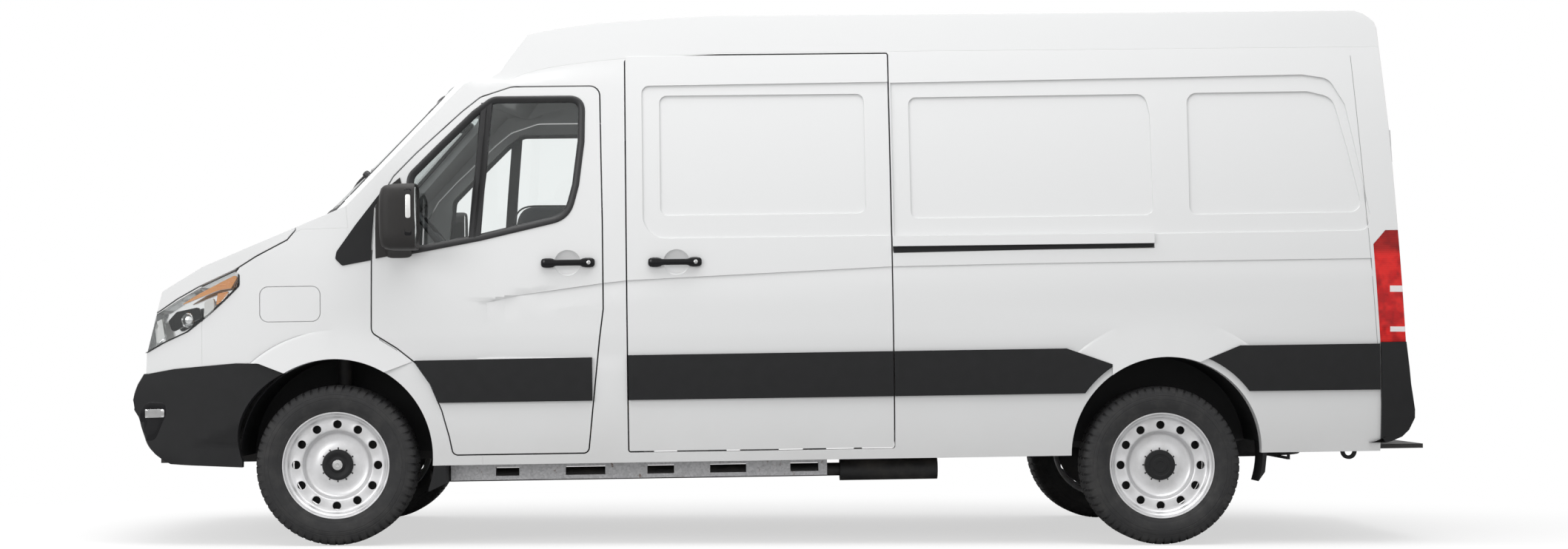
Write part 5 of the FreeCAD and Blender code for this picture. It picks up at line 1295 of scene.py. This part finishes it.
def lamp_insides():
    """The reflectors, indicators and domes of both headlamps."""
    for name, finish, slot, patches in LAMP_INSIDES:
        form = Form()
        for side in SIDES.values():
            for corners, high, low in patches:
                lamp_patch(form, side, corners, high, low)
        made(name, form, [finish], "body", 40)
    domes = Form()
    for side in SIDES.values():
        place = axis_place(outer_spot(LAMP_SKIN, side, -655, 1005, -16), (-0.35, side, 0.05))
        domes.turned(DOME, place, 40, closed=False)
    made("headlamp_domes", domes, [lamp_chrome], "body", 40)


headlamps()
lamp_insides()


# Red rear lamps that wrap round the corners
kept_parts("tail_lenses", "tail_lamps", red_lens, "body", lambda size: True)


# Windscreen border and wipers

SCREEN_SKIN = skin_tree(["windscreen"])
SCREEN_NORMAL = Vector((-0.7071, 0, 0.7071))
# The screen's corners as shares of the body's half width and the roof's height, with their radii
SCREEN_CORNERS = ((-0.83, 0.628, 0.05), (-0.71, 0.86, 0.06), (0.71, 0.86, 0.06), (0.83, 0.628, 0.05))


def screen_spot(y, z, lift):
    """A place on the windscreen's outer face at level-body y and z, lifted off it."""
    hit = SCREEN_SKIN.ray_cast(at(-2500, y, z), ALONG)[0] or SCREEN_SKIN.find_nearest(at(300, y, z))[0]
    return hit + SCREEN_NORMAL * lift * MM


def screen_border():
    """The black band round the glass and its rubber lip."""
    line = divided(rounded_line([(BODY_HALF * y, CREST * z, BODY_HALF * r) for y, z, r in SCREEN_CORNERS], 8),
                   longest=40)
    form = Form()
    form.skin([[screen_spot(spot.x, spot.y, lift) for spot in grown(line, shift)]
               for shift, lift in ((-4, 0.2), (-4, 0.8), (-52, 0.8), (-52, 0.2))], around=True)
    made("screen_border", form, [frit], "body", 40)
    inner = [screen_spot(spot.x, spot.y, 0) for spot in grown(line, -5)]
    centre = sum(inner, Vector()) / len(inner)
    lip = Form()
    lip.skin([[spot + (spot - centre).normalized() * out * MM + SCREEN_NORMAL * lift * MM for spot in inner]
              for out, lift in ((-6, -1), (-6, 3), (2, 4.6), (10, 4.2), (17, 2.5), (17, -4), (0, -4))], around=True)
    made("screen_lip", lip, [seal], "body", 40)


BLADE_SECTION = ((0, 0, -3), (-10, 0, 4), (-14, 0, 9), (-11, 0, 13), (-3, 0, 8), (1, 0, 1))


def wipers():
    """Two wiper arms parked low on the windscreen, with their blades and pivots."""
    form = Form()
    for y_pivot, y_tip, y_end in ((-560, 40, 340), (120, 640, 770)):
        pivot = screen_spot(y_pivot, 1508, 0) + Vector((-0.03, 0, -0.016))
        tip = screen_spot(y_tip, 1560, 8)
        mid = pivot.lerp(tip, 0.55) + Vector((-0.004, 0, 0.005))
        path = smooth_line([pivot + Vector((0.01, 0, 0.004)), pivot.lerp(mid, 0.4) + Vector((-0.003, 0, 0.004)),
                            mid, tip], 8)
        last = len(path) - 1
        sections = []
        for i, spot in enumerate(path):
            share = i / last
            way = (path[min(i + 1, last)] - path[max(i - 1, 0)]).normalized()
            across = way.cross(SCREEN_NORMAL).normalized()
            sections.append(oval(spot, across, SCREEN_NORMAL, (9 - 5 * share) * MM, (6 - 3 * share) * MM, 3, 12))
        form.skin(sections)
        form.turned(((17, -20), (17, 4), (14, 9), (6, 12), (0.01, 12)),
                    axis_place(pivot, SCREEN_NORMAL), 24, closed=False)
        low, high = screen_spot(y_tip - 300, 1522, 3), screen_spot(y_end, 1575, 3)
        blade = []
        for i in range(13):
            spot = low.lerp(high, i / 12)
            foot = screen_spot(spot.y / MM, level(spot).z, 0.3)
            blade.append([foot + Vector(point) * MM for point in BLADE_SECTION])
        form.skin(blade)
    made("wipers", form, [seal], "body", 35)


screen_border()
wipers()


# Cab: seats, steering wheel and belts

# A cushion's squareness and fineness, and in metres its drawn-in sides, its crown and its gap to the node's box
PAD_POWER, PAD_CELLS, PAD_TUCK, PAD_CROWN, PAD_GAP = 7, 18, 0.012, 0.022, 0.004
# The piping: points round a cushion, its half thickness and how deep it sits
PIPING_STEPS, PIPING_HALF, PIPING_INSET = 48, 0.004, 0.008


def pad_form(low, high, crown_axis):
    """A cushion between two corners: crowned along one axis, its other sides drawn in between the corners."""
    size = high - low
    middle = (low + high) / 2
    mesh = bmesh.new()
    bmesh.ops.create_cube(mesh, size=2.0)
    bmesh.ops.subdivide_edges(mesh, edges=mesh.edges, cuts=PAD_CELLS, use_grid_fill=True)
    points = []
    for vertex in mesh.verts:
        shape = vertex.co / sum(abs(value) ** PAD_POWER for value in vertex.co) ** (1 / PAD_POWER)
        full = []
        for k in range(3):
            if k == crown_axis:
                first, second = (shape[j] for j in range(3) if j != k)
                half = size[k] / 2 - PAD_CROWN * (1 - (1 - first ** 2) * (1 - second ** 2))
            else:
                half = size[k] / 2 - PAD_TUCK * (1 - abs(shape[3 - k - crown_axis]) ** 4) * 0.5
            full.append(shape[k] * half)
        points.append(middle + Vector(full))
    faces = [[vertex.index for vertex in face.verts] for face in mesh.faces]
    mesh.free()
    return Form().part(points, faces)


def seam_line(low, high, share):
    """A piped seam round a cushion at a share of its width."""
    middle = (low + high) / 2
    size = high - low
    rings = []
    for i in range(PIPING_STEPS):
        angle = 2 * math.pi * i / PIPING_STEPS
        spot = middle.copy()
        spot.y = low.y + size.y * share
        for k, value in ((0, math.cos(angle)), (2, math.sin(angle))):
            spot[k] += math.copysign(abs(value) ** (2 / PAD_POWER), value) * (size[k] / 2 - PIPING_INSET)
        outwards = spot - middle
        outwards.y = 0
        rings.append(oval(spot, outwards.normalized(), ACROSS, PIPING_HALF, PIPING_HALF, 2, 8))
    return Form().skin(rings, around=True)


def seats():
    """Driver's seat and double bench: padded cushions and backs."""
    for number, (points, _, size) in enumerate(loose_parts(merged("seats"))):
        low, high = corners_of(points)
        gap = Vector((PAD_GAP, PAD_GAP, PAD_GAP))
        pad = pad_form(low + gap, high - gap, 0 if size.z > size.x else 2)
        item = made(f"seat_pad_{number}", pad, [cloth], "body", 60)
        if number == 0:
            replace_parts(item, "seats")
        piping = Form()
        for share in (0.22, 0.78):
            ring = seam_line(low, high, share)
            piping.part(ring.points, ring.faces)
        made(f"seat_piping_{number}", piping, [seal], "body", 60)


# Radius of the steering wheel's grip and its points round
GRIP_RADIUS, GRIP_STEPS = 184, 16


def steering_wheel():
    """A four-spoke wheel with a padded middle, on the turning axis of the joint."""
    joint = next(joint for joint in frame["joints"] if joint["name"] == "steering_wheel_turn")
    way = Vector(joint["axis"])
    low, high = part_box("steering_wheel")
    centre = (Vector(low) + Vector(high)) / 2
    place = axis_place(centre, way if way.x > 0 else -way)
    form = Form()
    angles = [2 * math.pi * i / GRIP_STEPS for i in range(GRIP_STEPS)]
    rim = [(GRIP_RADIUS + 12.5 * math.cos(angle), 4 + 13.5 * math.sin(angle)) for angle in angles]
    form.turned(rim, place, 72)
    hub = Form().turned(((70, -14), (74, -4), (72, 8), (60, 17), (35, 21), (0.01, 22)), place, 40, closed=False)
    form.part(hub.points, hub.faces)
    form.turned(((30, -30), (30, 0), (0.01, 0)), place, 24, closed=False)
    for angle in (200, 340, 245, 295):
        turn = Matrix.Rotation(math.radians(angle), 4, "Z")
        rings = []
        for reach, half, thick, height in ((60, 20, 7, 2), (110, 15, 6, 0), (150, 14, 6, 1), (180, 17, 7, 4)):
            rings.append(oval(Vector((reach, 0, height)), Vector((0, 1, 0)), Vector((0, 0, 1)), half, thick, 3, 16))
        form.skin([[place @ turn @ point for point in ring] for ring in rings])
    item = made("driving_wheel", form, [cabin_grey], "steering_wheel", 40)
    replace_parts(item, "steering_wheel")


def belts():
    """The belts that show through the door windows, with their upper anchors."""
    form = Form()
    for side in SIDES.values():
        rings = []
        for z in range(1000, 1901, 60):
            rise = z - 1000
            rings.append([at(1222 + 0.02 * rise + dx, side * (880 - 0.06 * rise + dy), z)
                          for dx, dy in ((-24, 0), (24, 0), (24, 1.6), (-24, 1.6))])
        form.skin(rings)
        anchor = axis_place(at(1242, side * 828, 1905), (0, side, 0))
        form.turned(((24, -10), (24, 8), (18, 12), (0.01, 12)), anchor, 24, closed=False)
    made("belts", form, [cloth], "body", 40)


seats()
steering_wheel()
belts()


# Studio

def studio_floor():
    """A pale floor that keeps the van's shadow near it and runs out to white."""
    finish = Finish("studio_floor")
    reach = finish.node("ShaderNodeVectorMath", {"operation": "LENGTH"}, {0: finish.stretched((0.32, 0.55, 1))},
                        out="Value")
    rays = finish.node("ShaderNodeLightPath", out="Is Camera Ray")
    away = finish.fade(reach, 0.95, 1.7, 0.6, 1)
    tone = finish.blend(rays, (0.5, 0.5, 0.5, 1), (0.95, 0.95, 0.95, 1))
    ground = finish.node("ShaderNodeBsdfDiffuse", None, {"Color": tone})
    white = finish.node("ShaderNodeEmission", None, {"Color": (1, 1, 1, 1), "Strength": 1.0})
    shader = finish.node("ShaderNodeMixShader", None, {0: away * rays, 1: ground, 2: white})
    mesh = bpy.data.meshes.new("studio_floor")
    size = 60
    mesh.from_pydata([(-size, -size, 0), (size, -size, 0), (size, size, 0), (-size, size, 0)], [], [[0, 1, 2, 3]])
    mesh.materials.append(finish.done(shader))
    item = bpy.data.objects.new("studio_floor", mesh)
    scene.collection.objects.link(item)
    item.location.z = -0.0015


def studio_world():
    """Even light all round, and plain white where the camera, gloss or glass looks past the van."""
    world = bpy.data.worlds.new("studio_world")
    scene.world = world
    world.use_nodes = True
    tree = world.node_tree
    tree.nodes.clear()
    rays = tree.nodes.new("ShaderNodeLightPath")
    mix = tree.nodes.new("ShaderNodeMixShader")
    for socket, strength in ((1, 0.66), (2, 1.0)):
        light = tree.nodes.new("ShaderNodeBackground")
        light.inputs["Color"].default_value = (1, 1, 1, 1)
        light.inputs["Strength"].default_value = strength
        tree.links.new(light.outputs[0], mix.inputs[socket])
    seen = rays.outputs["Is Camera Ray"]
    for kind in ("Is Transmission Ray", "Is Glossy Ray"):
        either = tree.nodes.new("ShaderNodeMath")
        either.operation = "MAXIMUM"
        tree.links.new(seen, either.inputs[0])
        tree.links.new(rays.outputs[kind], either.inputs[1])
        seen = either.outputs[0]
    tree.links.new(seen, mix.inputs[0])
    out = tree.nodes.new("ShaderNodeOutputWorld")
    tree.links.new(mix.outputs[0], out.inputs["Surface"])


def softbox(name, place, target, size, power):
    """A rectangular studio lamp aimed at a point."""
    light = bpy.data.lights.new(name, "AREA")
    light.shape = "RECTANGLE"
    light.size, light.size_y = size
    light.energy = power
    item = bpy.data.objects.new(name, light)
    scene.collection.objects.link(item)
    item.location = place
    item.rotation_euler = (Vector(target) - Vector(place)).to_track_quat("-Z", "Y").to_euler()
    item.visible_camera = False


def studio_camera():
    """The camera at the photograph's place, with its lens and its slight turn."""
    camera = bpy.data.cameras.new("photo_camera")
    camera.sensor_width = 36
    camera.lens = 55.09
    item = bpy.data.objects.new("photo_camera", camera)
    scene.collection.objects.link(item)
    item.location = (-0.35225, -11.6127, 0.8671)
    item.rotation_euler = (math.pi / 2 + 0.0313, -0.0016, -0.0353)
    scene.camera = item


studio_floor()
studio_world()
softbox("overhead", (-0.5, -1.5, 6.5), (0, 0, 1), (9, 5), 460)
softbox("front_fill", (-7, -7, 3.5), (-1, 0, 1), (4, 3), 190)
studio_camera()
scene.view_settings.view_transform = "Standard"
